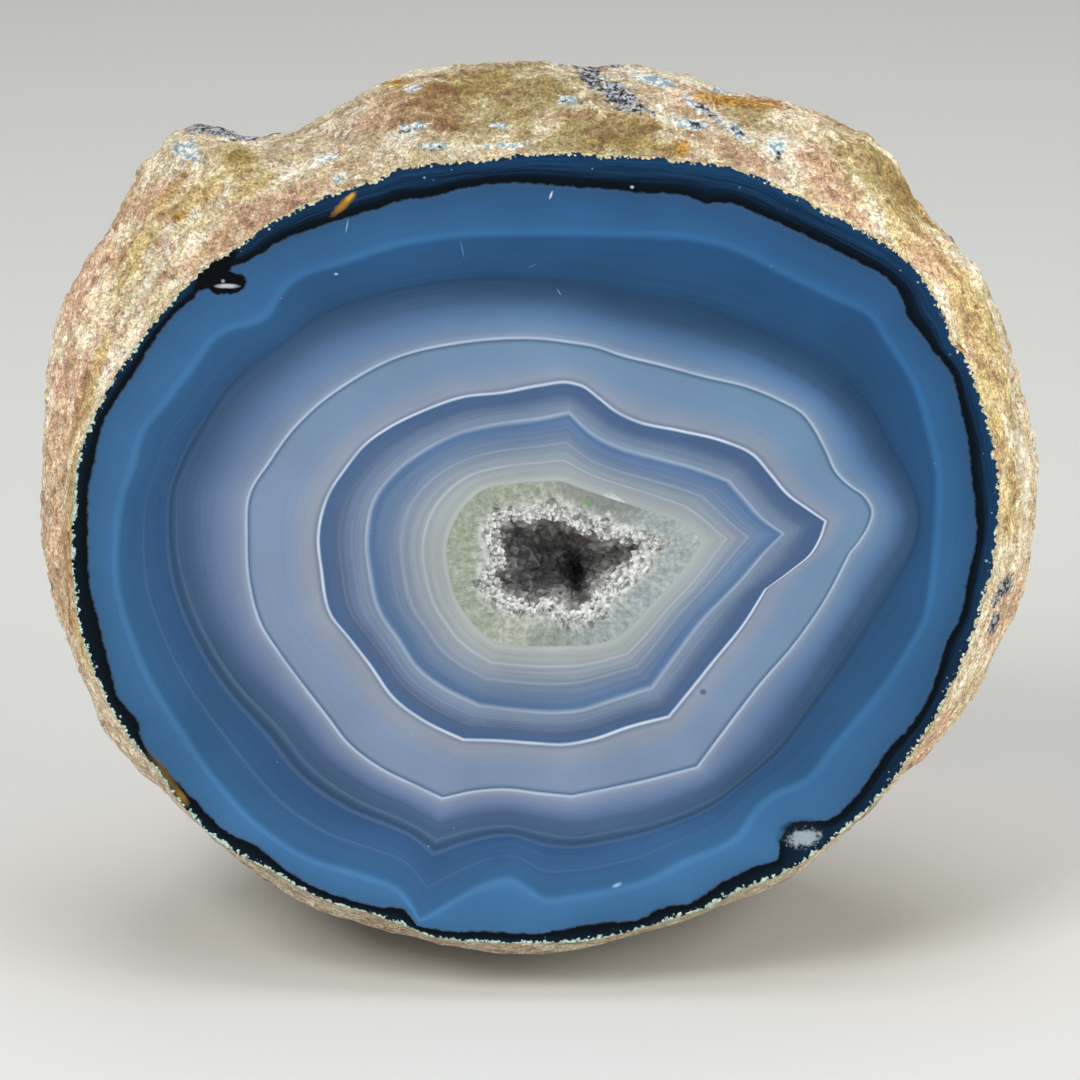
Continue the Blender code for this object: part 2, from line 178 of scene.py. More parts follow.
QUARTZ_EDGE = dict(
    sharp="CEG",
    A=[(563, 482), (579, 488), (618, 501), (645, 510)],
    B=[(668, 518), (688, 528)],
    C=[(702, 541), (694, 554)],
    D=[(675, 579), (653, 602), (632, 625)],
    E=[(616, 639), (590, 645)],
    F=[(561, 646), (529, 646)],
    G=[(496, 643), (475, 626)],
    H=[(459, 604), (449, 573), (447, 545)],
    I=[(457, 517), (469, 501)],
    J=[(485, 489), (510, 484), (538, 482)],
)
BANDS = [RIM_INNER_EDGE, PALE_BLUE_LINE, SLATE_CHANGE, WHITE_LINE_1, WHITE_LINE_2, WHITE_LINE_3,
         QUARTZ_EDGE]
LAST_BAND = len(BANDS)

# Where the rind ends on the face
RIM_OUTER_EDGE = [
    (540, 152), (609, 155), (681, 160), (719, 164), (756, 174), (789, 192), (823, 210), (860, 228),
    (895, 250), (926, 278), (942, 308), (951, 330), (953, 346), (965, 356), (975, 371), (979, 389),
    (991, 427), (999, 467), (1000, 508), (997, 548), (988, 587), (977, 625), (963, 661), (948, 696),
    (929, 729), (907, 760), (886, 790), (861, 817), (832, 840), (804, 862), (772, 879), (738, 891),
    (708, 908), (675, 918), (642, 928), (609, 937), (575, 943), (540, 944), (471, 942), (435, 938),
    (403, 925), (370, 913), (334, 904), (301, 889), (270, 870), (235, 853), (204, 830), (179, 801),
    (157, 770), (130, 739), (109, 705), (93, 668), (79, 629), (74, 589), (71, 548), (73, 507),
    (76, 466), (88, 427), (106, 390), (128, 356), (152, 324), (177, 294), (204, 266), (238, 246),
    (267, 223), (300, 206), (335, 192), (369, 181), (401, 167), (436, 162), (472, 160), (506, 155),
]

# The void at the face, where the crystals' points end
VOID_EDGE = [
    (551, 516), (569, 521), (576, 527), (588, 531), (599, 530), (604, 536), (620, 537), (631, 540),
    (646, 540), (644, 549), (636, 554), (634, 565), (620, 576), (611, 586), (601, 592), (595, 602),
    (583, 608), (571, 606), (551, 603), (538, 601), (526, 605), (515, 599), (502, 595), (494, 579),
    (501, 563), (501, 551), (495, 536), (502, 524), (517, 517), (527, 521), (535, 516),
]

# The face's mesh: columns across the bands and rows along them
COLUMN_WIDTH = 0.3 * MM
FLANK = 0.6 * MM                     # on both sides of a band's line growth runs in real millimetres
FLANK_GROWTH = 0.06
PLATE_DEPTH = 1.2 * MM
CURVE_PARTS = 12                     # points on an outline's curve from one of its own to the next


def to_world(points):
    """Points of the face's frame, as rows of (u, v, w), as points of the model."""
    points = np.asarray(points, float)
    sine, cosine = math.sin(FACE_LEAN), math.cos(FACE_LEAN)
    u, v, w = points[..., 0], points[..., 1], points[..., 2]
    turned = np.stack((u, v * sine + w * cosine, v * cosine - w * sine), axis=-1)
    return turned + np.array(FACE_POINT)


def to_face(points):
    """Points of the model as points of the face's frame."""
    moved = np.asarray(points, float) - np.array(FACE_POINT)
    sine, cosine = math.sin(FACE_LEAN), math.cos(FACE_LEAN)
    x, y, z = moved[..., 0], moved[..., 1], moved[..., 2]
    return np.stack((x, y * sine + z * cosine, y * cosine - z * sine), axis=-1)


def face_place(pixel):
    """A pixel of the photograph, or rows of them, as (u, v) on the face."""
    pixel = np.asarray(pixel, float)
    right = (pixel[..., 0] - PICTURE_CENTRE[0]) * PIXEL
    up = (PICTURE_CENTRE[1] - pixel[..., 1]) * PIXEL
    return np.stack((right, up), axis=-1)


FACE_NORMAL = Vector((0.0, -math.cos(FACE_LEAN), math.sin(FACE_LEAN)))


MIX_A, MIX_B, MIX_COLOUR = 6, 7, 2   # sockets of a Mix node that mixes colours


def linear_colour(code):
    """An sRGB hex code as a linear colour with alpha."""
    shares = [int(code[place:place + 2], 16) / 255.0 for place in (1, 3, 5)]
    linear = [s / 12.92 if s <= 0.04045 else ((s + 0.055) / 1.055) ** 2.4 for s in shares]
    return (*linear, 1.0)


def node(tree, kind, inputs=None, output=0, stops=(), **settings):
    """Add a shader node with its settings, set or link its inputs, and give back one output.

    A colour ramp takes stops of place and colour, where a number stands for a grey.
    """
    made = tree.nodes.new("ShaderNode" + kind)
    for name, value in settings.items():
        setattr(made, name, value)
    for index, (place, colour) in enumerate(stops):
        elements = made.color_ramp.elements
        element = elements[index] if index < 2 else elements.new(place)
        element.position = place
        element.color = linear_colour(colour) if isinstance(colour, str) else (colour, colour, colour, 1.0)
    for name, value in (inputs or {}).items():
        if isinstance(value, bpy.types.NodeSocket):
            tree.links.new(value, made.inputs[name])
        elif isinstance(value, str):
            made.inputs[name].default_value = linear_colour(value)
        else:
            made.inputs[name].default_value = value
    return made.outputs[output]


# Modelling helpers

def deselect_all():
    if bpy.context.object and bpy.context.object.mode != "OBJECT":
        bpy.ops.object.mode_set(mode="OBJECT")
    bpy.ops.object.select_all(action="DESELECT")


def activate(piece):
    """Make one object the only selected and active one."""
    deselect_all()
    piece.select_set(True)
    bpy.context.view_layer.objects.active = piece


def edit_all(piece):
    """Enter edit mode with all of one object selected."""
    activate(piece)
    bpy.ops.object.mode_set(mode="EDIT")
    bpy.ops.mesh.select_all(action="SELECT")


def edit_selection(piece, faces=None, edges=None, mode="FACE"):
    """Select faces or edges by a test, in edit mode."""
    bpy.ops.mesh.select_mode(type=mode)
    bpy.ops.mesh.select_all(action="DESELECT")
    shape = bmesh.from_edit_mesh(piece.data)
    chosen = 0
    for element in shape.faces if faces else shape.edges:
        if (faces or edges)(element):
            element.select = True
            chosen += 1
    shape.select_flush_mode()
    bmesh.update_edit_mesh(piece.data)
    return chosen


def apply_modifier(piece, kind, **settings):
    """Add a modifier with its settings and apply it."""
    made = piece.modifiers.new(kind.title(), kind)
    for name, value in settings.items():
        setattr(made, name, value)
    activate(piece)
    bpy.ops.object.modifier_apply(modifier=made.name)


def coordinates(piece):
    found = np.empty(len(piece.data.vertices) * 3, np.float32)
    piece.data.vertices.foreach_get("co", found)
    return found.reshape(-1, 3).astype(float)


def set_coordinates(piece, points):
    piece.data.vertices.foreach_set("co", np.asarray(points, np.float32).ravel())
    piece.data.update()


def set_attribute(piece, name, values, kind="FLOAT"):
    """Give the mesh a named value at each vertex."""
    made = piece.data.attributes.new(name, kind, "POINT")
    field = {"FLOAT": "value", "FLOAT_VECTOR": "vector"}[kind]
    made.data.foreach_set(field, np.asarray(values, np.float32).ravel())


# Outlines of the bands

def outline_curve(outline):
    """An outline's stretches, each as closely spaced points on a curve through its own points."""
    knots, sharp, starts = [], [], []
    for fold in FOLDS:
        starts.append(len(knots))
        for index, pixel in enumerate(outline[fold]):
            knots.append(face_place(pixel))
            sharp.append(index == 0 and fold in outline["sharp"])
    knots = np.array(knots)
    count = len(knots)
    ahead = np.roll(knots, -1, axis=0) - knots
    lengths = np.linalg.norm(ahead, axis=1)
    slopes = ahead / lengths[:, None]
    before = np.roll(slopes, 1, axis=0)
    length_before = np.roll(lengths, 1)
    middle = (slopes * length_before[:, None] + before * lengths[:, None])
    middle /= (lengths + length_before)[:, None]
    parts = np.arange(CURVE_PARTS) / CURVE_PARTS
    stretches = []
    for fold in range(len(FOLDS)):
        last = starts[fold + 1] if fold + 1 < len(FOLDS) else count
        points = []
        for index in range(starts[fold], last):
            after = (index + 1) % count
            leave = slopes[index] if sharp[index] else middle[index]
            arrive = slopes[index] if sharp[after] else middle[after]
            for part in parts:
                square, cube = part * part, part ** 3
                points.append((2 * cube - 3 * square + 1) * knots[index]
                              + (cube - 2 * square + part) * lengths[index] * leave
                              + (3 * square - 2 * cube) * knots[after]
                              + (cube - square) * lengths[index] * arrive)
        points.append(knots[last % count])
        stretches.append(np.array(points))
    return stretches


def along(points, steps):
    """Points at even distances along a polyline, its last one left out."""
    lengths = np.concatenate(([0.0], np.cumsum(np.linalg.norm(np.diff(points, axis=0), axis=1))))
    wanted = lengths[-1] * np.arange(steps) / steps
    return np.stack([np.interp(wanted, lengths, points[:, axis]) for axis in (0, 1)], axis=1)


def band_columns():
    """For each band, the same number of points round its outline, so that columns cross the bands."""
    curves = [outline_curve(band) for band in BANDS]
    longest = curves[1]
    steps = []
    for stretch in longest:
        length = np.linalg.norm(np.diff(stretch, axis=0), axis=1).sum()
        steps.append(max(8, round(length / COLUMN_WIDTH)))
    return [np.concatenate([along(stretch, count) for stretch, count in zip(curve, steps)])
            for curve in curves]


def directions(angles):
    """Unit vectors (u, v) at the given angles."""
    return np.stack((np.cos(angles), np.sin(angles)), axis=1)


def turn_round(points, centre):
    """Angle and distance of (u, v) points about a centre."""
    away = points - centre
    return np.arctan2(away[:, 1], away[:, 0]) % math.tau, np.hypot(away[:, 0], away[:, 1])


def radius_at(points, centre, angles):
    """Distance from a centre to a closed outline at the given angles."""
    turned, radii = turn_round(points, centre)
    order = np.argsort(turned)
    return np.interp(angles, turned[order], radii[order], period=math.tau)


# Rind

RIND_VOXEL = 0.60 * MM
RIND_SMOOTHING = 8
RIM_STEP = 3.0 * MM                  # how far the blank stands out in front before it is sawn
EDGE_REACH = 7.0 * MM                # the rind bends to its edge on the face over this depth
# Swellings of the outline: pixel, reach and height in millimetres
SWELLINGS = [
    ((963, 252), 7.0, 1.3), ((797, 103), 7.0, 0.9), ((540, 60), 10.0, -1.1), ((660, 70), 6.0, -0.8),
    ((353, 98), 9.0, -0.9), ((40, 400), 10.0, -1.2), ((30, 480), 10.0, -1.5), ((60, 632), 7.0, 1.0),
    ((135, 770), 6.0, -0.6), ((228, 862), 8.0, -0.8), ((256, 138), 4.5, 1.0), ((204, 133), 3.0, -0.6),
]
LIP_PIXEL = (196, 146)
LIP_TILT = math.radians(12.0)
LIP_SIZE = (5.5, 4.0)                # half its length and half its height, in millimetres
LIP_HEIGHT = 2.6 * MM
EDGE_START = 38.0 * MM               # every point of the sawn edge lies further out than this
EDGE_PARTS = 240
PIT_SHARE = 0.36                     # the pit behind the face plate, which takes the lining
STREAKS_ROUND = 13.0                 # streaks run along the rim for a thirteenth of its radius or so
STREAK_WIDTH = 1.7 * MM
BACK_REACH = 35.0 * MM               # nearer the axis, on the back, they spread out instead of meeting
RIND_MIDDLE = 12.0 * MM              # the disc map looks out from this depth behind the face
RIND_OPENING = math.radians(112.0)
MARKS_REACH = 26.0 * MM


def blank_from_cad(name, cad_name):
    """A copy of a CAD node with its doubles merged, as loose stock to shape."""
    blank = bpy.data.objects.new(name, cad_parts[cad_name].data.copy())
    bpy.context.collection.objects.link(blank)
    blank.data.materials.clear()
    edit_all(blank)
    bpy.ops.mesh.remove_doubles(threshold=0.01 * MM)
    return blank


def in_front_or_hollow(face):
    """Whether a face of the CAD's stone is part of the sawn front or of the hollow."""
    u, v, w = to_face(face.calc_center_median())
    middle = face_place(HOLLOW_CENTRE)
    near = math.hypot(u - middle[0], v - middle[1]) < HOLLOW_REACH and w < HOLLOW_DEPTH + 1 * MM
    return near or (w < 0.1 * MM and face.normal.dot(FACE_NORMAL) > 0.99)


def rind_relief(place):
    """How far the rind's relief stands out at a point of the face's frame, in metres."""
    u, v, w = place
    away = max(math.hypot(u, v), BACK_REACH)
    round_place = Vector((u / away * 7.0, v / away * 7.0, w / (1.5 * MM)))
    point = Vector(place)
    height = 0.22 * MM * noise.noise(round_place)
    height += 0.46 * MM * noise.fractal(point / (5.0 * MM), 0.6, 2.3, 4)
    flake = noise.noise(point / (3.2 * MM) + Vector((5.1, 2.7, 8.3)))
    height += 0.30 * MM * abs(flake)
    height += 0.20 * MM * noise.noise(point / (1.4 * MM) + Vector((3.1, 7.7, 1.3)))
    pit = noise.noise(point / (2.4 * MM) + Vector((9.2, 0.4, 5.8)))
    height -= 0.55 * MM * max(0.0, pit - 0.28) / 0.5
    return height


def fit_outline(places):
    """Bend the rind to the photograph's outline and to its edge on the face."""
    centre = face_place(STONE_CENTRE)
    away = places[:, :2] - centre
    reach = np.hypot(away[:, 0], away[:, 1])
    ways = away / np.maximum(reach, 1e-6)[:, None]
    seen = seen_places(places)
    moves = np.zeros(len(places))
    for pixel, size, height in SWELLINGS:
        near = np.linalg.norm(seen - face_place(pixel), axis=1) / (size * MM)
        moves += height * MM * np.exp(-near * near) * (reach > SIDES_START)
    places[:, :2] += ways * moves[:, None]
    angles, reach = turn_round(places[:, :2], centre)
    front = np.abs(places[:, 2]) < 0.5 * RIND_VOXEL
    front &= reach > EDGE_START
    bins = np.linspace(0.0, math.tau, EDGE_PARTS + 1)
    middles = 0.5 * (bins[1:] + bins[:-1])
    which = np.digitize(angles, bins) - 1
    edge = np.array([np.median(reach[front & (which == index)]) for index in range(EDGE_PARTS)])
    wanted = radius_at(face_place(RIM_OUTER_EDGE), centre, middles)
    change = np.interp(angles, middles, wanted - edge, period=math.tau)
    near = np.clip(1.0 - np.abs(places[:, 2]) / EDGE_REACH, 0.0, 1.0)
    near = near * near * (3.0 - 2.0 * near) * (reach > SIDES_START)
    places[:, :2] += ways * (change * near)[:, None]
    return places


def raise_lip(places):
    """The thin broken lip that stands up at the upper left, with the chipped hollow behind it."""
    away = (seen_places(places) - face_place(LIP_PIXEL)) / MM
    turned = away @ np.array([[math.cos(LIP_TILT), -math.sin(LIP_TILT)],
                              [math.sin(LIP_TILT), math.cos(LIP_TILT)]])
    reach = np.hypot(turned[:, 0] / LIP_SIZE[0], turned[:, 1] / LIP_SIZE[1])
    places[:, 1] += LIP_HEIGHT * np.clip(1.0 - reach, 0.0, 1.0) ** 0.8 * (places[:, 2] > 2.0 * MM)
    return places


def bake_map(piece, places, wrap):
    """Give a piece its own flat map: wrap turns (corner's place in the face's frame, face) into (s, t)."""
    layer = piece.data.uv_layers.new(name="OFBake")
    corners = np.empty((len(piece.data.loops), 2), np.float32)
    for face in piece.data.polygons:
        hidden = wrap(None, face)
        for loop in face.loop_indices:
            corners[loop] = hidden or wrap(places[piece.data.loops[loop].vertex_index], face)
    layer.data.foreach_set("uv", corners.ravel())


def make_rind(settings):
    """The rough outside, sawn off at the face and closed behind it."""
    rind = blank_from_cad("rind", "agate")
    edit_selection(rind, faces=in_front_or_hollow)
    bpy.ops.mesh.delete(type="FACE")
    edit_selection(rind, edges=lambda edge: edge.is_boundary, mode="EDGE")
    forward = FACE_NORMAL * RIM_STEP
    bpy.ops.mesh.extrude_edges_move(TRANSFORM_OT_translate={"value": forward})
    bpy.ops.mesh.edge_face_add()
    bpy.ops.object.mode_set(mode="OBJECT")
    apply_modifier(rind, "REMESH", mode="VOXEL", voxel_size=RIND_VOXEL)
    apply_modifier(rind, "SMOOTH", factor=0.5, iterations=RIND_SMOOTHING)
    points = coordinates(rind)
    normals = np.empty(len(points) * 3, np.float32)
    rind.data.vertices.foreach_get("normal", normals)
    places = to_face(points)
    heights = np.array([rind_relief(place) for place in places])
    heights *= np.clip(places[:, 2] / (6.0 * MM), 0.35, 1.0)
    heights *= np.clip(1.0 + places[:, 1] / (60.0 * MM), 0.45, 1.0)
    points += normals.reshape(-1, 3) * heights[:, None] * settings.rind_relief
    points = to_world(raise_lip(fit_outline(to_face(points))))
    points[:, 2] = np.maximum(points[:, 2], 0.0)
    points = np.clip(points, np.array(CAD_BOX[0]), np.array(CAD_BOX[1]))
    set_coordinates(rind, points)
    edit_all(rind)
    bpy.ops.mesh.bisect(plane_co=FACE_POINT, plane_no=FACE_NORMAL, clear_outer=True,
                        threshold=1e-6)
    edit_selection(rind, edges=lambda edge: edge.is_boundary, mode="EDGE")
    bpy.ops.mesh.extrude_edges_move(TRANSFORM_OT_translate={"value": -FACE_NORMAL * PLATE_DEPTH})
    bpy.ops.mesh.extrude_edges_move()
    bpy.ops.transform.resize(value=(PIT_SHARE, PIT_SHARE, PIT_SHARE),
                             center_override=to_world((*face_place(HOLLOW_CENTRE), PLATE_DEPTH)))
    bpy.ops.mesh.extrude_edges_move(TRANSFORM_OT_translate={"value": -FACE_NORMAL * HOLLOW_DEPTH})
    bpy.ops.mesh.edge_face_add()
    bpy.ops.mesh.select_all(action="SELECT")
    bpy.ops.mesh.normals_make_consistent(inside=False)
    bpy.ops.object.mode_set(mode="OBJECT")
    rind.data.shade_smooth()
    rind.data.set_sharp_from_angle(angle=math.radians(60.0))
    places = to_face(coordinates(rind))
    away = np.maximum(np.hypot(places[:, 0], places[:, 1]), BACK_REACH)
    streak = np.column_stack((places[:, :2] / away[:, None] * STREAKS_ROUND, places[:, 2] / STREAK_WIDTH))
    set_attribute(rind, "streak", streak, "FLOAT_VECTOR")
    rind_marks(rind, places)
    flat_rind_map(rind, places)
    rind.data.materials.append(rind_material(settings))
    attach(rind, "root")
    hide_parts("agate")


def sawn_edge(rind):
    """Points of the rind's edge round the face, as (u, v)."""
    places = to_face(coordinates(rind))
    return places[np.abs(places[:, 2]) < 0.002 * MM][:, :2]


def flat_rind_map(rind, places):
    """Spread the bowl of the rind out as a disc, its back's middle at the disc's centre."""
    turn = np.arctan2(places[:, 1], places[:, 0])
    away = np.hypot(places[:, 0], places[:, 1])
    opening = np.arctan2(away, places[:, 2] - RIND_MIDDLE) / RIND_OPENING
    disc = directions(turn) * np.minimum(opening, 1.0)[:, None]
    disc = 0.5 + 0.49 * disc

    def wrap(vertex, face):
        if vertex is None:
            return None if len(face.vertices) < 5 else (0.001, 0.001)
        return disc[vertex]

    bake_map(rind, range(len(places)), wrap)


# Marks on the rind: pixel of their middle, length and width in millimetres, and their tilt
BLUE_MARKS = [
    ((556, 60), 2.6, 1.2, -5.0), ((566, 100), 2.6, 1.2, -10.0), ((412, 88), 2.0, 0.9, 10.0),
    ((412, 128), 4.5, 1.2, 14.0), ((436, 146), 3.6, 0.9, 0.0), ((696, 106), 4.2, 0.9, -38.0),
    ((690, 124), 4.4, 1.5, -14.0), ((735, 130), 4.6, 1.2, -35.0), ((186, 151), 3.4, 2.4, -15.0),
    ((505, 146), 6.0, 0.6, 4.0), ((655, 80), 5.0, 1.2, -14.0), ((722, 90), 3.0, 0.9, -10.0),
    ((777, 147), 2.4, 2.0, 0.0), ((868, 235), 4.0, 0.6, -32.0), ((982, 262), 2.4, 0.9, -50.0),
    ((325, 158), 3.0, 1.0, 20.0), ((340, 178), 2.4, 1.0, 30.0), ((500, 126), 2.2, 0.8, 0.0),
    ((912, 182), 3.2, 1.0, -55.0),
]
DARK_MARKS = [
    ((578, 62), 3.0, 1.6, -40.0), ((592, 78), 4.4, 2.2, -48.0), ((620, 97), 6.0, 2.8, -35.0),
    ((640, 107), 3.4, 1.1, -25.0), ((606, 63), 4.4, 0.8, -12.0), ((218, 131), 9.0, 1.3, -12.0),
    ((262, 134), 8.0, 0.8, 10.0), ((204, 128), 3.6, 1.3, 10.0), ((694, 124), 2.4, 0.7, -20.0),
    ((702, 108), 3.4, 0.6, -38.0), ((737, 131), 2.8, 0.7, -35.0), ((1003, 590), 4.2, 1.3, 60.0),
    ((994, 622), 3.6, 1.1, 68.0), ((912, 180), 2.4, 0.9, -55.0), ((962, 246), 4.6, 0.9, -48.0),
    ((780, 154), 1.6, 0.6, 70.0), ((565, 100), 1.2, 0.5, 0.0), ((406, 131), 3.2, 0.5, 10.0),
    ((433, 148), 2.4, 0.5, 10.0),
]
RUST_MARKS = [
    ((960, 349), 1.6, 1.0, -60.0), ((149, 150), 1.9, 1.3, 40.0), ((728, 100), 9.0, 1.6, -8.0),
    ((182, 218), 2.6, 1.2, 50.0), ((682, 147), 2.4, 1.6, -20.0), ((765, 102), 5.0, 1.2, -14.0),
    ((395, 82), 2.0, 1.0, 0.0), ((902, 792), 8.0, 0.5, 52.0),
]
PALE_MARKS = [
    ((640, 76), 10.0, 0.9, -24.0), ((700, 84), 11.0, 0.9, -14.0), ((572, 84), 4.0, 0.4, -55.0),
    ((594, 106), 4.0, 0.4, -45.0), ((668, 122), 5.0, 1.0, -28.0), ((728, 122), 9.0, 0.6, -35.0),
    ((490, 146), 8.0, 0.7, 4.0), ((165, 142), 6.0, 0.5, 38.0), ((118, 205), 10.0, 0.5, 62.0),
    ((850, 228), 9.0, 0.9, -34.0), ((1000, 330), 14.0, 0.6, -72.0), ((1018, 450), 12.0, 0.6, -84.0),
    ((788, 140), 5.0, 1.2, -20.0), ((962, 260), 4.0, 1.0, -40.0), ((420, 72), 9.0, 0.8, 12.0),
    ((930, 700), 12.0, 0.9, 58.0), ((300, 170), 9.0, 0.6, 24.0), ((150, 280), 12.0, 0.8, 56.0),
]
OLIVE_MARKS = [
    ((500, 100), 17.0, 6.0, 6.0), ((600, 138), 16.0, 4.6, -4.0), ((455, 92), 6.0, 3.0, 10.0),
    ((880, 180), 10.0, 4.6, -48.0), ((240, 158), 2.2, 1.8, 0.0), ((740, 110), 6.0, 2.0, -20.0),
]
YELLOW_MARKS = [
    ((970, 310), 12.0, 3.6, -60.0), ((990, 400), 12.0, 2.4, -80.0), ((1008, 500), 9.0, 2.0, 88.0),
    ((238, 165), 4.0, 4.0, -60.0), ((130, 268), 7.0, 1.4, 60.0), ((205, 190), 8.0, 1.8, 34.0),
    ((92, 380), 9.0, 1.4, 70.0), ((900, 225), 6.0, 3.0, -50.0), ((85, 640), 8.0, 1.4, -68.0),
    ((165, 200), 5.0, 1.4, 50.0), ((940, 705), 8.0, 0.8, 62.0), ((255, 185), 5.0, 1.4, 30.0),
    ((72, 500), 16.0, 0.9, 88.0), ((140, 245), 4.0, 2.0, 50.0), ((640, 145), 9.0, 1.6, -6.0),
    ((905, 190), 7.0, 2.6, -50.0), ((1008, 400), 8.0, 1.0, -78.0), ((395, 82), 4.0, 1.4, 0.0),
    ((470, 84), 8.0, 2.0, 8.0), ((640, 120), 8.0, 1.6, -10.0),
]
PINK_MARKS = [
    ((415, 108), 9.0, 4.6, 8.0), ((815, 168), 9.0, 3.0, -38.0), ((270, 212), 14.0, 3.0, 28.0),
    ((64, 420), 16.0, 3.0, 80.0), ((690, 104), 8.0, 2.6, -25.0), ((215, 245), 9.0, 2.6, 38.0),
    ((100, 250), 16.0, 2.4, 64.0), ((555, 117), 3.0, 1.0, 0.0), ((150, 200), 6.0, 2.4, 45.0),
    ((60, 560), 12.0, 2.4, -84.0), ((930, 262), 5.0, 2.0, -45.0), ((1000, 620), 10.0, 2.0, 66.0),
    ((720, 146), 8.0, 1.8, -30.0), ((930, 742), 9.0, 0.9, 56.0), ((840, 200), 9.0, 2.0, -38.0),
    ((770, 170), 8.0, 1.6, -30.0), ((585, 117), 2.0, 1.0, 0.0),
]


def seen_places(places):
    """Where places of the face's frame appear in the photograph."""
    nearer = VIEW_DISTANCE / (VIEW_DISTANCE + places[:, 2])
    return places[:, :2] * nearer[:, None]


def rind_marks(rind, places):
    """How strongly each kind of mark lies on each vertex, as seen from the photograph's side."""
    seen = seen_places(places)
    for name, marks in (("blue", BLUE_MARKS), ("dark", DARK_MARKS), ("rust", RUST_MARKS),
                        ("olive", OLIVE_MARKS), ("yellow", YELLOW_MARKS), ("pink", PINK_MARKS),
                        ("pale", PALE_MARKS)):
        strength = np.zeros(len(places))
        for pixel, length, width, tilt in marks:
            away = (seen - face_place(pixel)) / MM
            turn = math.radians(tilt)
            lengthwise = away[:, 0] * math.cos(turn) + away[:, 1] * math.sin(turn)
            crosswise = away[:, 1] * math.cos(turn) - away[:, 0] * math.sin(turn)
            reach = np.hypot(lengthwise / (0.5 * length), crosswise / (0.5 * width))
            strength = np.maximum(strength, 1.0 - 0.5 * reach)
        set_attribute(rind, name, np.where(places[:, 2] < MARKS_REACH, strength, 0.0))


def new_material(name):
    made = bpy.data.materials.new(name)
    made.use_nodes = True
    return made, made.node_tree, made.node_tree.nodes["Principled BSDF"]


# The rind's patterns: size of their grain in millimetres, detail and roughness
RIND_PATTERNS = dict(broad=(13.0, 3.0, 0.6), patch=(3.0, 4.0, 0.72), ragged=(0.9, 4.0, 0.7),
                     grain=(0.7, 2.0, 0.75), salt=(0.32, 1.0, 0.7))
CRUMB_SIZE = 0.95


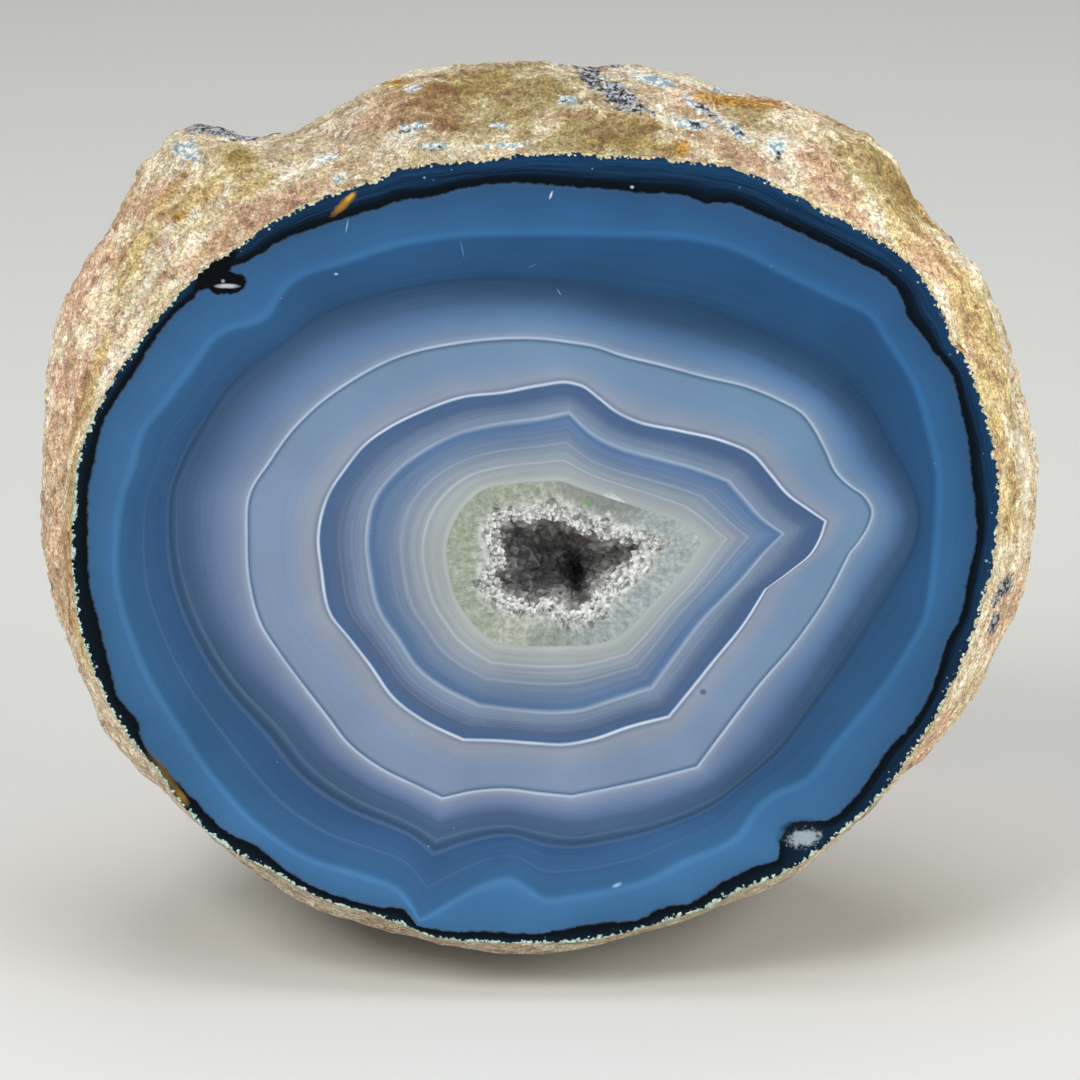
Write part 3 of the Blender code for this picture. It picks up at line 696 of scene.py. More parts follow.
def rind_material(settings):
    """Weathered rind: dull and sandy, pinkish cream at the sides, olive and rusty above."""
    made, tree, shader = new_material("weathered agate rind")
    place = node(tree, "TexCoord", output=3)
    streak = node(tree, "Attribute", output=1, attribute_name="streak")
    cloud = {name: node(tree, "TexNoise", {"Vector": place, "Scale": 1.0 / (size * MM), "Detail": detail,
                                           "Roughness": rough})
             for name, (size, detail, rough) in RIND_PATTERNS.items()}
    across = node(tree, "VectorMath", {0: place, 1: (1.5, 0.0, 1.5)}, 1, operation="DOT_PRODUCT")
    zone = node(tree, "Math", {0: cloud["broad"], 1: across}, operation="ADD")
    base = node(tree, "ValToRGB", {0: zone},
                stops=[(0.36, "#d8b094"), (0.45, "#e6d0a8"), (0.53, "#decb92"), (0.6, "#bdaa68"),
                       (0.67, "#e0c898"), (0.76, "#cdbb78"), (0.86, "#dccb9a")])

    # streaks along the rim, bent by a slower wave, and the veins that cross them
    wave = node(tree, "TexNoise", {"Vector": streak, "Scale": 0.7, "Detail": 4.0, "Roughness": 0.6}, 1)
    bent = node(tree, "VectorMath", {0: wave, 1: (1.1, 1.1, 1.1), 2: streak}, operation="MULTIPLY_ADD")
    strokes = node(tree, "TexNoise", {"Vector": bent, "Scale": 1.0 / 1.7, "Detail": 5.0, "Roughness": 0.7})
    later = node(tree, "VectorMath", {0: bent, 1: (7.0, 3.0, 11.0)}, operation="ADD")
    veins = node(tree, "TexNoise", {"Vector": later, "Scale": 1.0 / 1.1, "Detail": 4.0, "Roughness": 0.65})
    flake = node(tree, "TexVoronoi", {"Vector": bent, "Scale": 1.9}, 1)
    wander = node(tree, "TexNoise", {"Vector": place, "Scale": 500.0, "Detail": 3.0}, 1)
    wander = node(tree, "VectorMath", {0: wander, 1: (0.002, 0.002, 0.002), 2: place},
                  operation="MULTIPLY_ADD")
    crumb = node(tree, "TexVoronoi", {"Vector": wander, "Scale": 1.0 / (CRUMB_SIZE * MM)}, 1)
    flakes, crumbs, dark, pale, ochre, crumby, specks, salt, cracked, speckled = [
        node(tree, "ValToRGB", {0: source}, stops=stops) for source, stops in (
            (flake, [(0.1, "#8f6248"), (0.26, "#c08e70"), (0.42, "#d6bb86"), (0.56, "#f0e2be"),
                     (0.72, "#a89a4c"), (0.86, "#fff8e4")]),
            (crumb, [(0.12, "#6f4a3c"), (0.26, "#b18672"), (0.42, "#d3b98c"), (0.56, "#f2e6c8"),
                     (0.72, "#a09256"), (0.86, "#fffdf0")]),
            (strokes, [(0.0, 0.0), (0.53, 0.0), (0.57, 0.6), (1.0, 0.75)]),
            (strokes, [(0.0, 0.9), (0.42, 0.8), (0.455, 0.0), (1.0, 0.0)]),
            (veins, [(0.0, 0.0), (0.54, 0.0), (0.6, 0.5), (1.0, 0.55)]),
            (cloud["patch"], [(0.0, 0.22), (0.44, 0.26), (0.56, 0.5), (1.0, 0.6)]),
            (cloud["grain"], [(0.0, 0.25), (0.36, 0.45), (0.43, 0.92), (0.56, 1.05), (0.64, 1.5),
                              (1.0, 1.7)]),
            (cloud["salt"], [(0.0, 0.4), (0.37, 0.5), (0.45, 0.95), (0.55, 1.05), (0.63, 1.5),
                             (1.0, 1.7)]),
            (veins, [(0.468, 0.0), (0.474, 0.7), (0.478, 0.7), (0.484, 0.0)]),
            (cloud["grain"], [(0.44, 0.0), (0.58, 1.0)]))]
    for share, paint in ((0.42, flakes), (dark, "#a77e66"), (pale, "#f4e8cc"), (ochre, "#bda350"),
                         (crumby, crumbs)):
        base = node(tree, "Mix", {0: share, MIX_A: base, MIX_B: paint}, MIX_COLOUR, data_type="RGBA")

    # broad tints, then the grain's light and dark specks
    tints = []
    for name, tint, thickness in (("olive", "#c6bb6e", 0.85), ("yellow", "#e8d98c", 0.85),
                                  ("pink", "#f1cfbd", 0.72)):
        mark = node(tree, "Attribute", output=2, attribute_name=name)
        edge = node(tree, "Math", {0: strokes, 1: 1.6, 2: mark}, operation="MULTIPLY_ADD")
        tints.append((node(tree, "MapRange", {0: edge, 1: 0.95, 2: 1.35, 4: thickness}), tint))
    for share, tint in (*tints, (0.65, specks), (0.6, salt)):
        base = node(tree, "Mix", {0: share, MIX_A: base, MIX_B: tint}, MIX_COLOUR, data_type="RGBA",
                    blend_type="MULTIPLY")
    base = node(tree, "HueSaturation", {"Color": base, "Saturation": 0.82})

    # painted light: the rind is made paler towards its far left and right sides than at its top and bottom
    sideways = node(tree, "VectorMath", {0: place, 1: (1.0, 0.0, 0.0)}, 1, operation="DOT_PRODUCT")
    sideways = node(tree, "Math", {0: sideways, 1: 5.0 * MM}, operation="ADD")
    sideways = node(tree, "Math", {0: sideways}, operation="ABSOLUTE")
    painted_side_light = node(tree, "MapRange", {0: sideways, 1: 28.0 * MM, 2: 58.0 * MM, 3: 0.82, 4: 1.35})
    painted_side_light = node(tree, "Math", {0: painted_side_light, 1: settings.rind_brightness}, operation="MULTIPLY")
    base = node(tree, "VectorMath", {0: base, "Scale": painted_side_light}, operation="SCALE")

    layers = [(node(tree, "Math", {0: cracked, 1: cloud["patch"]}, operation="MULTIPLY"), "#4f3829")]
    for name, low, high, thickness in (("rust", "#8a561a", "#d9a63a", 0.8),
                                       ("pale", "#cfc3a2", "#fbf6e8", 0.85),
                                       ("blue", "#7fa5b8", "#f2f5ee", 0.88),
                                       ("dark", "#0a0f18", "#b4bcc8", 0.95)):
        mark = node(tree, "Attribute", output=2, attribute_name=name)
        edge = node(tree, "Math", {0: cloud["ragged"], 1: 1.8, 2: mark}, operation="MULTIPLY_ADD")
        mask = node(tree, "MapRange", {0: edge, 1: 1.32, 2: 1.52, 4: thickness})
        layers.append((mask, node(tree, "Mix", {0: speckled, MIX_A: low, MIX_B: high}, MIX_COLOUR,
                                  data_type="RGBA")))
    for share, paint in layers:
        base = node(tree, "Mix", {0: share, MIX_A: base, MIX_B: paint}, MIX_COLOUR, data_type="RGBA")
    tree.links.new(base, shader.inputs["Base Color"])
    shader.inputs["Roughness"].default_value = 0.84
    shader.inputs["Specular IOR Level"].default_value = 0.35
    height = node(tree, "Math", {0: cloud["grain"], 1: 0.8}, operation="MULTIPLY")
    height = node(tree, "Math", {0: cloud["patch"], 1: 1.5, 2: height}, operation="MULTIPLY_ADD")
    bump = node(tree, "Bump", {"Height": height, "Strength": 0.9, "Distance": 1.0 * MM})
    tree.links.new(bump, shader.inputs["Normal"])
    return made


# Face

EDGE_INSET = 0.02 * MM               # the plate stays this far inside the rind's edge
RIM_ROOM = 0.35 * MM                 # the dark rim is nowhere thinner than this
FACE_MAP = 113.0 * MM                # side of the square that the face's map covers
FACE_MAP_CENTRE = (534, 552)


def face_columns(rind):
    """The band outlines with the rind's edge in front, all with the same number of columns."""
    columns = band_columns()
    centre = face_place(STONE_CENTRE)
    angles, radii = turn_round(columns[0], centre)
    edge = radius_at(sawn_edge(rind), centre, angles) - EDGE_INSET
    ways = directions(angles)
    columns[0] = centre + ways * np.minimum(radii, edge - RIM_ROOM)[:, None]
    return [centre + ways * edge[:, None]] + columns


def face_rows(columns):
    """Rows of the face's mesh from the rind to the hollow: places and how far the stone has grown."""
    rows, growth = [], []
    for zone in range(LAST_BAND):
        outer, inner = columns[zone], columns[zone + 1]
        width = np.linalg.norm(inner - outer, axis=1)
        flank = np.minimum(FLANK, 0.4 * width) / width
        for part, grown in ((0.0 * flank, 0.0), (flank, FLANK_GROWTH), (0.5 + 0.0 * flank, 0.5),
                            (1.0 - flank, 1.0 - FLANK_GROWTH)):
            rows.append(outer + (inner - outer) * part[:, None])
            growth.append(zone + grown)
    rows.append(columns[LAST_BAND])
    growth.append(float(LAST_BAND))
    return np.array(rows), np.array(growth)


def ring_mesh(name, rows):
    """A grid bent round into a ring; rows run inwards and hold places of the face's frame."""
    count = rows.shape[1]
    deselect_all()
    bpy.ops.mesh.primitive_grid_add(x_subdivisions=count, y_subdivisions=len(rows) - 1, size=1.0)
    piece = bpy.context.object
    piece.name = name
    piece.data.name = name
    bpy.ops.object.transform_apply(location=True, rotation=True, scale=True)
    closed = np.concatenate((rows, rows[:, :1]), axis=1)
    set_coordinates(piece, to_world(closed.reshape(-1, 3)))
    for layer in list(piece.data.uv_layers):
        piece.data.uv_layers.remove(layer)
    return piece


def make_face(rind):
    """The polished face as a thin plate let into the rind."""
    rows, growth = face_rows(face_columns(rind))
    flat = np.concatenate((rows, np.zeros((*rows.shape[:2], 1))), axis=2)
    face = ring_mesh("banded_face", flat)
    set_attribute(face, "growth", np.repeat(growth, rows.shape[1] + 1))
    edit_all(face)
    bpy.ops.mesh.remove_doubles(threshold=0.001 * MM)
    edit_selection(face, edges=lambda edge: edge.is_boundary, mode="EDGE")
    bpy.ops.mesh.extrude_edges_move(TRANSFORM_OT_translate={"value": -FACE_NORMAL * PLATE_DEPTH})
    bpy.ops.mesh.bridge_edge_loops()
    bpy.ops.mesh.select_all(action="SELECT")
    bpy.ops.mesh.normals_make_consistent(inside=False)
    bpy.ops.object.mode_set(mode="OBJECT")
    places = to_face(coordinates(face))
    set_attribute(face, "face_mm", places / MM, "FLOAT_VECTOR")
    middle = face_place(FACE_MAP_CENTRE)

    def wrap(place, part):
        if place is None:
            return None if part.normal.dot(FACE_NORMAL) > 0.9 else (0.002, 0.002)
        return 0.5 + (place[0] - middle[0]) / FACE_MAP, 0.5 + (place[1] - middle[1]) / FACE_MAP

    bake_map(face, places, wrap)
    face.data.materials.append(face_material())
    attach(face, "root")
    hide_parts("agate")


# Colours across the bands: growth, then at the lower left and at the upper right. They go from the
# rim's dark blue and black over the mid blue, slate, pale blue and grey-blue bands to the quartz's grey
BAND_COLOURS = [
    (0.00, "#07161f", "#133250"), (0.15, "#05131f", "#112f4d"), (0.55, "#030c15", "#0a2036"),
    (0.75, "#000f1a", "#020f1d"), (0.985, "#02080e", "#020911"), (1.00, "#42536f", "#395172"),
    (1.03, "#335e85", "#2b5076"), (1.30, "#376188", "#2c557f"), (1.80, "#3a6590", "#2e5a86"),
    (1.96, "#41709c", "#326495"), (2.03, "#315980", "#254b74"), (2.40, "#32547a", "#254a70"),
    (2.70, "#2e4f76", "#234568"), (2.75, "#2c4663", "#213f5d"), (2.93, "#3c5572", "#294665"),
    (3.05, "#445a79", "#35516f"), (3.25, "#516688", "#44648a"), (3.60, "#67799a", "#587aa1"),
    (3.90, "#78869c", "#6c85a3"), (3.98, "#8594aa", "#7a90ab"), (4.022, "#446183", "#40607d"),
    (4.055, "#7788a0", "#6686a2"), (4.50, "#7a8ca7", "#6989a9"), (4.93, "#8b93a1", "#8591a5"),
    (5.03, "#466288", "#445d80"), (5.35, "#516280", "#486083"), (5.65, "#687994", "#607692"),
    (5.95, "#7a8a9f", "#75879d"), (6.04, "#4f6b91", "#55749c"), (6.35, "#718197", "#677c9b"),
    (6.65, "#929ca3", "#808c99"), (7.00, "#a6aaa8", "#9aa2a2"),
]
# Pale lines: growth, half their width in growth, and strength
PALE_LINES = [
    (4.0, 0.016, 0.75), (5.0, 0.020, 0.95), (6.0, 0.018, 0.7), (6.42, 0.018, 0.16),
    (6.58, 0.015, 0.14), (6.70, 0.016, 0.26), (6.96, 0.018, 0.2),
]
FAINT_LINES = [
    (2.34, 0.014, 0.26), (2.72, 0.030, 0.10), (2.86, 0.024, 0.14), (5.42, 0.016, 0.18),
    (5.72, 0.020, 0.2),
]
# How strongly fine banding shows, by growth
FINE_BANDING = [(0.0, 0.5), (0.9, 0.3), (1.05, 0.05), (2.0, 0.04), (2.3, 0.07), (2.9, 0.16),
                (3.2, 0.06), (3.9, 0.03), (4.1, 0.03), (5.0, 0.06), (5.4, 0.14), (6.2, 0.18),
                (7.0, 0.10)]
RIM_STREAKS = [(0.0, 0.0), (0.06, 0.6), (0.5, 0.8), (0.75, 0.2), (0.95, 0.0)]
EDGE_RAGGEDNESS = [(0.0, 0.1), (0.9, 0.09), (1.04, 0.08), (1.2, 0.008), (7.0, 0.004)]
# The face's patterns: size in millimetres, detail and roughness
FACE_PATTERNS = dict(ragged=(1.2, 4.0, 0.65), haze=(14.0, 3.0, 0.5), strength=(9.0, 2.0, 0.6),
                     chalk=(0.5, 4.0, 0.75), crumbs=(0.5, 3.0, 0.7), drifts=(3.0, 2.0, 0.6))
BEAD_SIZE = 0.55

# Marks on the face: pixel, length, width in millimetres, tilt, colour, strength and softness of the edge
FACE_MARKS = [
    ((216, 270), 7.0, 2.6, 43.0, "#03060a", 1.0, 0.15),
    ((226, 283), 4.7, 3.1, 0.0, "#03060a", 1.0, 0.1),
    # painted highlight: these two pale marks in the black eye stand for light caught in it
    ((227, 286), 2.8, 0.6, 0.0, "#b6bdc6", 0.95, 0.5),
    ((223, 281), 0.5, 0.4, 0.0, "#9aa4b0", 0.8, 0.5),
    ((344, 204), 3.8, 1.0, 43.0, "#a8781f", 0.9, 0.6),
    ((350, 197), 1.8, 0.6, 43.0, "#d8a93a", 0.8, 0.6),
    ((166, 776), 7.4, 1.3, -55.0, "#6a5a34", 0.75, 0.7),
    ((182, 797), 2.4, 1.0, -55.0, "#8a6a2c", 0.8, 0.6),
    ((800, 834), 5.6, 3.4, 8.0, "#0d1c2c", 0.95, 0.4),
    ((703, 692), 0.9, 0.8, 0.0, "#35507a", 0.75, 0.5),
    ((497, 858), 3.2, 2.0, 0.0, "#2c527c", 0.5, 0.9),
    ((551, 195), 1.1, 0.3, 70.0, "#cfdcec", 0.8, 0.5),
    ((632, 187), 0.5, 0.4, 0.0, "#b9c8dc", 0.8, 0.5),
    ((347, 226), 1.7, 0.2, 80.0, "#9db4d2", 0.7, 0.5),
    ((462, 248), 2.6, 0.14, -78.0, "#6f8fb8", 0.6, 0.6),
    ((532, 266), 1.6, 0.12, 22.0, "#6f8fb8", 0.6, 0.6),
    ((559, 292), 1.0, 0.16, -55.0, "#8aa5c8", 0.6, 0.6),
    ((617, 885), 1.4, 0.5, 22.0, "#a9c0dc", 0.7, 0.6),
    ((336, 274), 0.5, 0.3, 0.0, "#a9bcd4", 0.8, 0.5),
]
# Chalky marks: their oval, how far the chalk frays it, where it starts and ends, strength and colour
CHALKY_MARKS = [
    (((616, 500), 5.6, 2.0, -30.0), -1.6, -0.45, -0.25, 0.8, "#c9cfd0"),
    (((804, 838), 5.0, 2.6, 8.0), -2.2, -0.6, -0.2, 0.62, "#bccbd3"),
]


def over_growth(stops):
    """Stops at shares of the whole growth of the stone."""
    return [(place / LAST_BAND, value) for place, value in stops]


def line_stops(lines):
    """Stops of a ramp that is bright at each (growth, half its width, strength)."""
    stops = []
    for middle, half, strength in lines:
        stops += [(middle - half, 0.0), (middle - 0.3 * half, strength),
                  (middle + 0.3 * half, strength), (min(middle + half, 6.999), 0.0)]
    return stops


def oval(tree, turned, pixel, length, width, tilt):
    """How far a place in millimetres lies from an oval's middle: 1 on its edge.

    turned holds the place turned by each tilt, and each is made when it is first asked for.
    """
    if tilt not in turned:
        turned[tilt] = node(tree, "VectorRotate",
                            {"Vector": turned[0.0], "Angle": -math.radians(tilt)}, rotation_type="Z_AXIS")
    u, v = face_place(pixel) / MM
    sine, cosine = math.sin(math.radians(tilt)), math.cos(math.radians(tilt))
    shares = (2.0 / length, 2.0 / width, 0.0)
    back = (-(u * cosine + v * sine) * shares[0], (u * sine - v * cosine) * shares[1], 0.0)
    sized = node(tree, "VectorMath", {0: turned[tilt], 1: shares, 2: back},
                 operation="MULTIPLY_ADD")
    return node(tree, "VectorMath", {0: sized}, 1, operation="LENGTH")


def face_material():
    """Banded chalcedony in its greys and blues: sawn, polished, glossy as glass."""
    made, tree, shader = new_material("polished banded chalcedony")
    place = node(tree, "Attribute", output=1, attribute_name="face_mm")
    grown = node(tree, "Attribute", output=2, attribute_name="growth")
    cloud = {name: node(tree, "TexNoise", {"Vector": place, "Scale": 1.0 / size, "Detail": detail,
                                           "Roughness": rough})
             for name, (size, detail, rough) in FACE_PATTERNS.items()}
    ragged = node(tree, "Math", {0: cloud["ragged"], 1: 0.5}, operation="SUBTRACT")
    grown_share = node(tree, "Math", {0: grown, 1: 1.0 / LAST_BAND}, operation="MULTIPLY")
    amount = node(tree, "ValToRGB", {0: grown_share}, stops=over_growth(EDGE_RAGGEDNESS))
    growth = node(tree, "Math", {0: ragged, 1: amount, 2: grown}, operation="MULTIPLY_ADD")
    growth_share = node(tree, "Math", {0: growth, 1: 1.0 / LAST_BAND}, operation="MULTIPLY")
    left, right, banding, in_rim, lines, faint = [
        node(tree, "ValToRGB", {0: growth_share}, stops=over_growth(stops)) for stops in (
            [(stop, low) for stop, low, high in BAND_COLOURS],
            [(stop, high) for stop, low, high in BAND_COLOURS],
            FINE_BANDING, RIM_STREAKS, line_stops(PALE_LINES), line_stops(FAINT_LINES))]
    leaning, down, low = [
        node(tree, "VectorMath", {0: place, 1: way}, 1, operation="DOT_PRODUCT")
        for way in ((0.008, 0.0133, 0.0), (0.0, -1.0, 0.0), (-0.012, -0.02, 0.0))]
    side = node(tree, "Math", {0: leaning, 1: 0.4}, operation="ADD", use_clamp=True)
    colour = node(tree, "Mix", {0: side, MIX_A: left, MIX_B: right}, MIX_COLOUR, data_type="RGBA")

    # fine banding and rim streaks: noise that runs quickly with growth and slowly along a band
    slow = node(tree, "VectorMath", {0: place, "Scale": 0.05}, operation="SCALE")
    fine, streaks = [
        node(tree, "TexNoise", {"Vector": slow, "Scale": scale, "Detail": detail, "Roughness": rough,
                                "W": node(tree, "Math", {0: growth, 1: pace}, operation="MULTIPLY")},
             noise_dimensions="4D")
        for pace, scale, detail, rough in ((17.0, 1.0, 3.0, 0.65), (7.0, 1.6, 4.0, 0.7))]
    swing = node(tree, "Math", {0: fine, 1: 4.0, 2: -2.0}, operation="MULTIPLY_ADD")
    tone = node(tree, "Math", {0: swing, 1: banding, 2: 1.0}, operation="MULTIPLY_ADD")
    haze = node(tree, "MapRange", {0: cloud["haze"], 1: 0.3, 2: 0.7, 3: 0.92, 4: 1.08})
    # painted light: the face is made up to a fifth lighter towards its bottom, carried along with the haze
    painted_light_below = node(tree, "MapRange", {0: down, 1: 28.0, 2: 36.0, 3: 1.0, 4: 1.2})
    haze = node(tree, "Math", {0: haze, 1: painted_light_below}, operation="MULTIPLY")
    for share in (tone, haze):
        colour = node(tree, "VectorMath", {0: colour, "Scale": share}, operation="SCALE")

    streaked = node(tree, "ValToRGB", {0: streaks}, stops=[(0.42, 0.0), (0.68, 1.0)])
    strength = node(tree, "MapRange", {0: cloud["strength"], 1: 0.3, 2: 0.65, 3: 0.6, 4: 1.0})
    low = node(tree, "Math", {0: low, 1: 0.1}, operation="ADD", use_clamp=True)
    specks, picked = [node(tree, "TexVoronoi", {"Vector": place, "Scale": 0.30}, output)
                      for output in (0, 1)]
    size = node(tree, "Math", {0: picked, 1: 0.032}, operation="MULTIPLY")
    speck = node(tree, "Math", {0: specks, 1: size}, operation="LESS_THAN")
    streaked, lines, faint, speck = [
        node(tree, "Math", {0: mask, 1: share}, operation="MULTIPLY")
        for mask, share in ((streaked, in_rim), (lines, strength), (faint, low), (speck, 0.5))]
    streaked = node(tree, "Math", {0: streaked, 1: side}, operation="MULTIPLY")
    layers = [(streaked, "#1c486f"), (lines, "#d9e5f2"), (faint, "#a9bdd8"), (speck, "#b6c6da")]

    turned = {0.0: place}
    for pixel, length, width, tilt, code, thickness, soft in FACE_MARKS:
        reach = oval(tree, turned, pixel, length, width, tilt)
        reach = node(tree, "Math", {0: ragged, 1: 0.9, 2: reach}, operation="MULTIPLY_ADD")
        layers.append((node(tree, "MapRange", {0: reach, 1: 1.0 - soft, 2: 1.0 + 0.3 * soft,
                                               3: thickness, 4: 0.0}), code))
    chalk = cloud["chalk"]
    for spot, grain, start, end, thickness, code in CHALKY_MARKS:
        reach = oval(tree, turned, *spot)
        reach = node(tree, "Math", {0: chalk, 1: grain, 2: reach}, operation="MULTIPLY_ADD")
        layers.append((node(tree, "MapRange", {0: reach, 1: start, 2: end, 3: thickness, 4: 0.0}), code))

    # the crumbly fringe at the rind: pale green crumbs, sandy ones at the upper right
    bead = node(tree, "TexVoronoi", {"Vector": place, "Scale": 1.0 / BEAD_SIZE})
    crumbs = node(tree, "Math", {0: cloud["crumbs"], 1: cloud["drifts"]}, operation="ADD")
    crumbs = node(tree, "Math", {0: bead, 1: -0.55, 2: crumbs}, operation="MULTIPLY_ADD")
    fringe = node(tree, "Math", {0: crumbs, 1: -0.13, 2: grown}, operation="MULTIPLY_ADD")
    fringe = node(tree, "MapRange", {0: fringe, 1: -0.072, 2: -0.064, 3: 0.95, 4: 0.0})
    green, sandy = [
        node(tree, "ValToRGB", {0: chalk}, stops=stops) for stops in (
            [(0.36, "#4a5f5c"), (0.45, "#86a69c"), (0.55, "#b3cabb"), (0.66, "#e4ecdc")],
            [(0.38, "#8a7a54"), (0.48, "#bda97c"), (0.56, "#d9ca9c"), (0.66, "#f2e8ca")])]
    sand = node(tree, "Math", {0: chalk, 1: -0.04, 2: grown}, operation="MULTIPLY_ADD")
    sand = node(tree, "MapRange", {0: sand, 1: 0.01, 2: 0.03, 3: 1.0, 4: 0.0})
    sand = node(tree, "Math", {0: sand, 1: side}, operation="MULTIPLY")
    layers.append((fringe, node(tree, "Mix", {0: sand, MIX_A: green, MIX_B: sandy}, MIX_COLOUR,
                                data_type="RGBA")))
    grains, lucky = [node(tree, "TexVoronoi", {"Vector": place, "Scale": 0.8}, output)
                     for output in (0, 1)]
    lucky = node(tree, "Math", {0: lucky, 1: 0.17}, operation="MULTIPLY")
    grains = node(tree, "Math", {0: grains, 1: lucky}, operation="LESS_THAN")
    near_rind = node(tree, "ValToRGB", {0: grown_share},
                     stops=over_growth([(0.0, 0.8), (0.35, 0.5), (0.6, 0.0)]))
    layers.append((node(tree, "Math", {0: grains, 1: near_rind}, operation="MULTIPLY"), "#aac0cc"))
    for share, paint in layers:
        colour = node(tree, "Mix", {0: share, MIX_A: colour, MIX_B: paint}, MIX_COLOUR, data_type="RGBA")
    tree.links.new(colour, shader.inputs["Base Color"])
    shine = node(tree, "MapRange", {0: fringe, 3: 0.09, 4: 0.8})
    tree.links.new(shine, shader.inputs["Roughness"])
    shader.inputs["IOR"].default_value = 1.54
    return made


# Quartz

def cup_shrink(part, fullness=CUP_FULLNESS):
    """Width of a cup at a share of its depth, as a share of its width at the face."""
    return max(0.0, 1.0 - part ** fullness) ** (1.0 / fullness)


LINING_STRIDE = 2                    # the lining takes every second column of the face
CROWN_WIDTH = 1.9 * MM               # crystal points stand this far round the void
CROWN_DEPTH = 1.1 * MM
RING_ROWS = 6
CROWN_ROWS = 5
WALL_ROWS = 20
BACK_ROWS = 7
BACK_GAP = 0.35 * MM
VOID_FULLNESS = 1.5                  # the points make the void narrow towards its bottom
LINING_TIP = 0.45                    # the lining is as bright as the middle of a crystal, in the painted shade that darkens crystals towards their bases
COLUMNS_ROUND = 14.0                 # columns of grown quartz show as rays on the sawn ring
COLUMN_LENGTH = 5.0 * MM
# The quartz's patterns: size in millimetres, detail and roughness
QUARTZ_PATTERNS = dict(grain=(0.7, 4.0, 0.7), patches=(4.0, 3.0, 0.6), shade=(1.0, 3.0, 0.6),
                       void_cloud=(1.5, 4.0, 0.65))
# Ovals on the quartz: a bruise, a green speck, painted shade in a cleft and a tan crystal
QUARTZ_SPOTS = [((600, 496), 13.0, 4.4, -14.0), ((587, 502), 1.9, 1.2, 0.0),
                ((577, 576), 4.0, 9.0, 6.0), ((576, 536), 4.4, 3.0, 0.0)]


def lining_rows(edge):
    """Rows of the lining from its outer edge over the crown to the bottom of the void."""
    middle = face_place(HOLLOW_CENTRE)
    angles, outer = turn_round(edge, middle)
    inner = radius_at(face_place(VOID_EDGE), middle, angles)
    crown = np.minimum(inner + CROWN_WIDTH, outer - 0.3 * (outer - inner))
    ways = directions(angles)

    def row(radius, depth):
        flat = middle + ways * radius[:, None]
        return np.concatenate((flat, np.full((len(flat), 1), depth)), axis=1)

    rows = []
    back_depth = HOLLOW_DEPTH - BACK_GAP
    for step in range(BACK_ROWS, 0, -1):
        depth = back_depth * math.sin(0.5 * math.pi * step / BACK_ROWS)
        rows.append(row((outer - BACK_GAP) * cup_shrink(depth / back_depth), depth))
    for step in range(RING_ROWS):
        rows.append(row(outer + (crown - outer) * step / RING_ROWS, 0.0))
    for step in range(CROWN_ROWS):
        part = step / CROWN_ROWS
        rows.append(row(crown + (inner - crown) * part, CROWN_DEPTH * part ** 1.5))
    for step in range(WALL_ROWS + 1):
        depth = CROWN_DEPTH + (VOID_DEPTH - CROWN_DEPTH) * math.sin(0.5 * math.pi * step / WALL_ROWS)
        rows.append(row(inner * cup_shrink(depth / VOID_DEPTH, VOID_FULLNESS), depth))
    zones = [0.0] * BACK_ROWS + [0.9 * step / RING_ROWS for step in range(RING_ROWS)]
    zones += [1.0] * CROWN_ROWS + [1.6] + [2.0] * WALL_ROWS
    return np.array(rows), np.array(zones)


def crystal_points(draw, count, place_for, radii, reaches, lean):
    """Six-sided crystals, prism and pyramid, as one set of vertices, faces and zones."""
    verts, faces, zones, tips = [], [], [], []
    for _ in range(count):
        place, way, zone = place_for(draw)
        way = way + np.array([draw.uniform(-1, 1) for _ in range(3)]) * lean
        way /= np.linalg.norm(way)
        side = np.cross(way, (0.31, 0.17, 0.93))
        side /= np.linalg.norm(side)
        other = np.cross(way, side)
        radius = draw.uniform(*radii)
        reach = draw.uniform(*reaches)
        turn = draw.uniform(0.0, math.tau)
        corners = [math.cos(turn + math.tau * c / 6) * side
                   + math.sin(turn + math.tau * c / 6) * other for c in range(6)]
        first = len(verts)
        verts += [place - way * 1.2 * radius + corner * 0.85 * radius for corner in corners]
        verts += [place + way * (reach - 1.1 * radius) + corner * radius * (1 + draw.uniform(-0.12, 0.12))
                  for corner in corners]
        verts.append(place + way * reach + corners[0] * draw.uniform(-0.3, 0.3) * radius)
        faces.append([first + c for c in reversed(range(6))])
        for c in range(6):
            d = (c + 1) % 6
            faces.append([first + c, first + d, first + 6 + d, first + 6 + c])
            faces.append([first + 6 + c, first + 6 + d, first + 12])
        zones += [zone] * 13
        # tip: how far up its crystal a vertex lies, plus the crystal's own tone; the material paints shade
        # towards the bases from it
        tone = draw.uniform(-0.2, 0.2)
        tips += [tone] * 6 + [0.35 + tone] * 6 + [1.0 + tone]
    verts = np.array(verts)
    verts[:, 2] = np.maximum(verts[:, 2], 0.0)
    return verts, faces, zones, tips


def add_points(name, made):
    verts, faces, zones, tips = made
    data = bpy.data.meshes.new(name)
    data.from_pydata(to_world(verts).tolist(), [], faces)
    piece = bpy.data.objects.new(name, data)
    bpy.context.collection.objects.link(piece)
    set_attribute(piece, "zone", zones)
    set_attribute(piece, "tip", tips)
    return piece


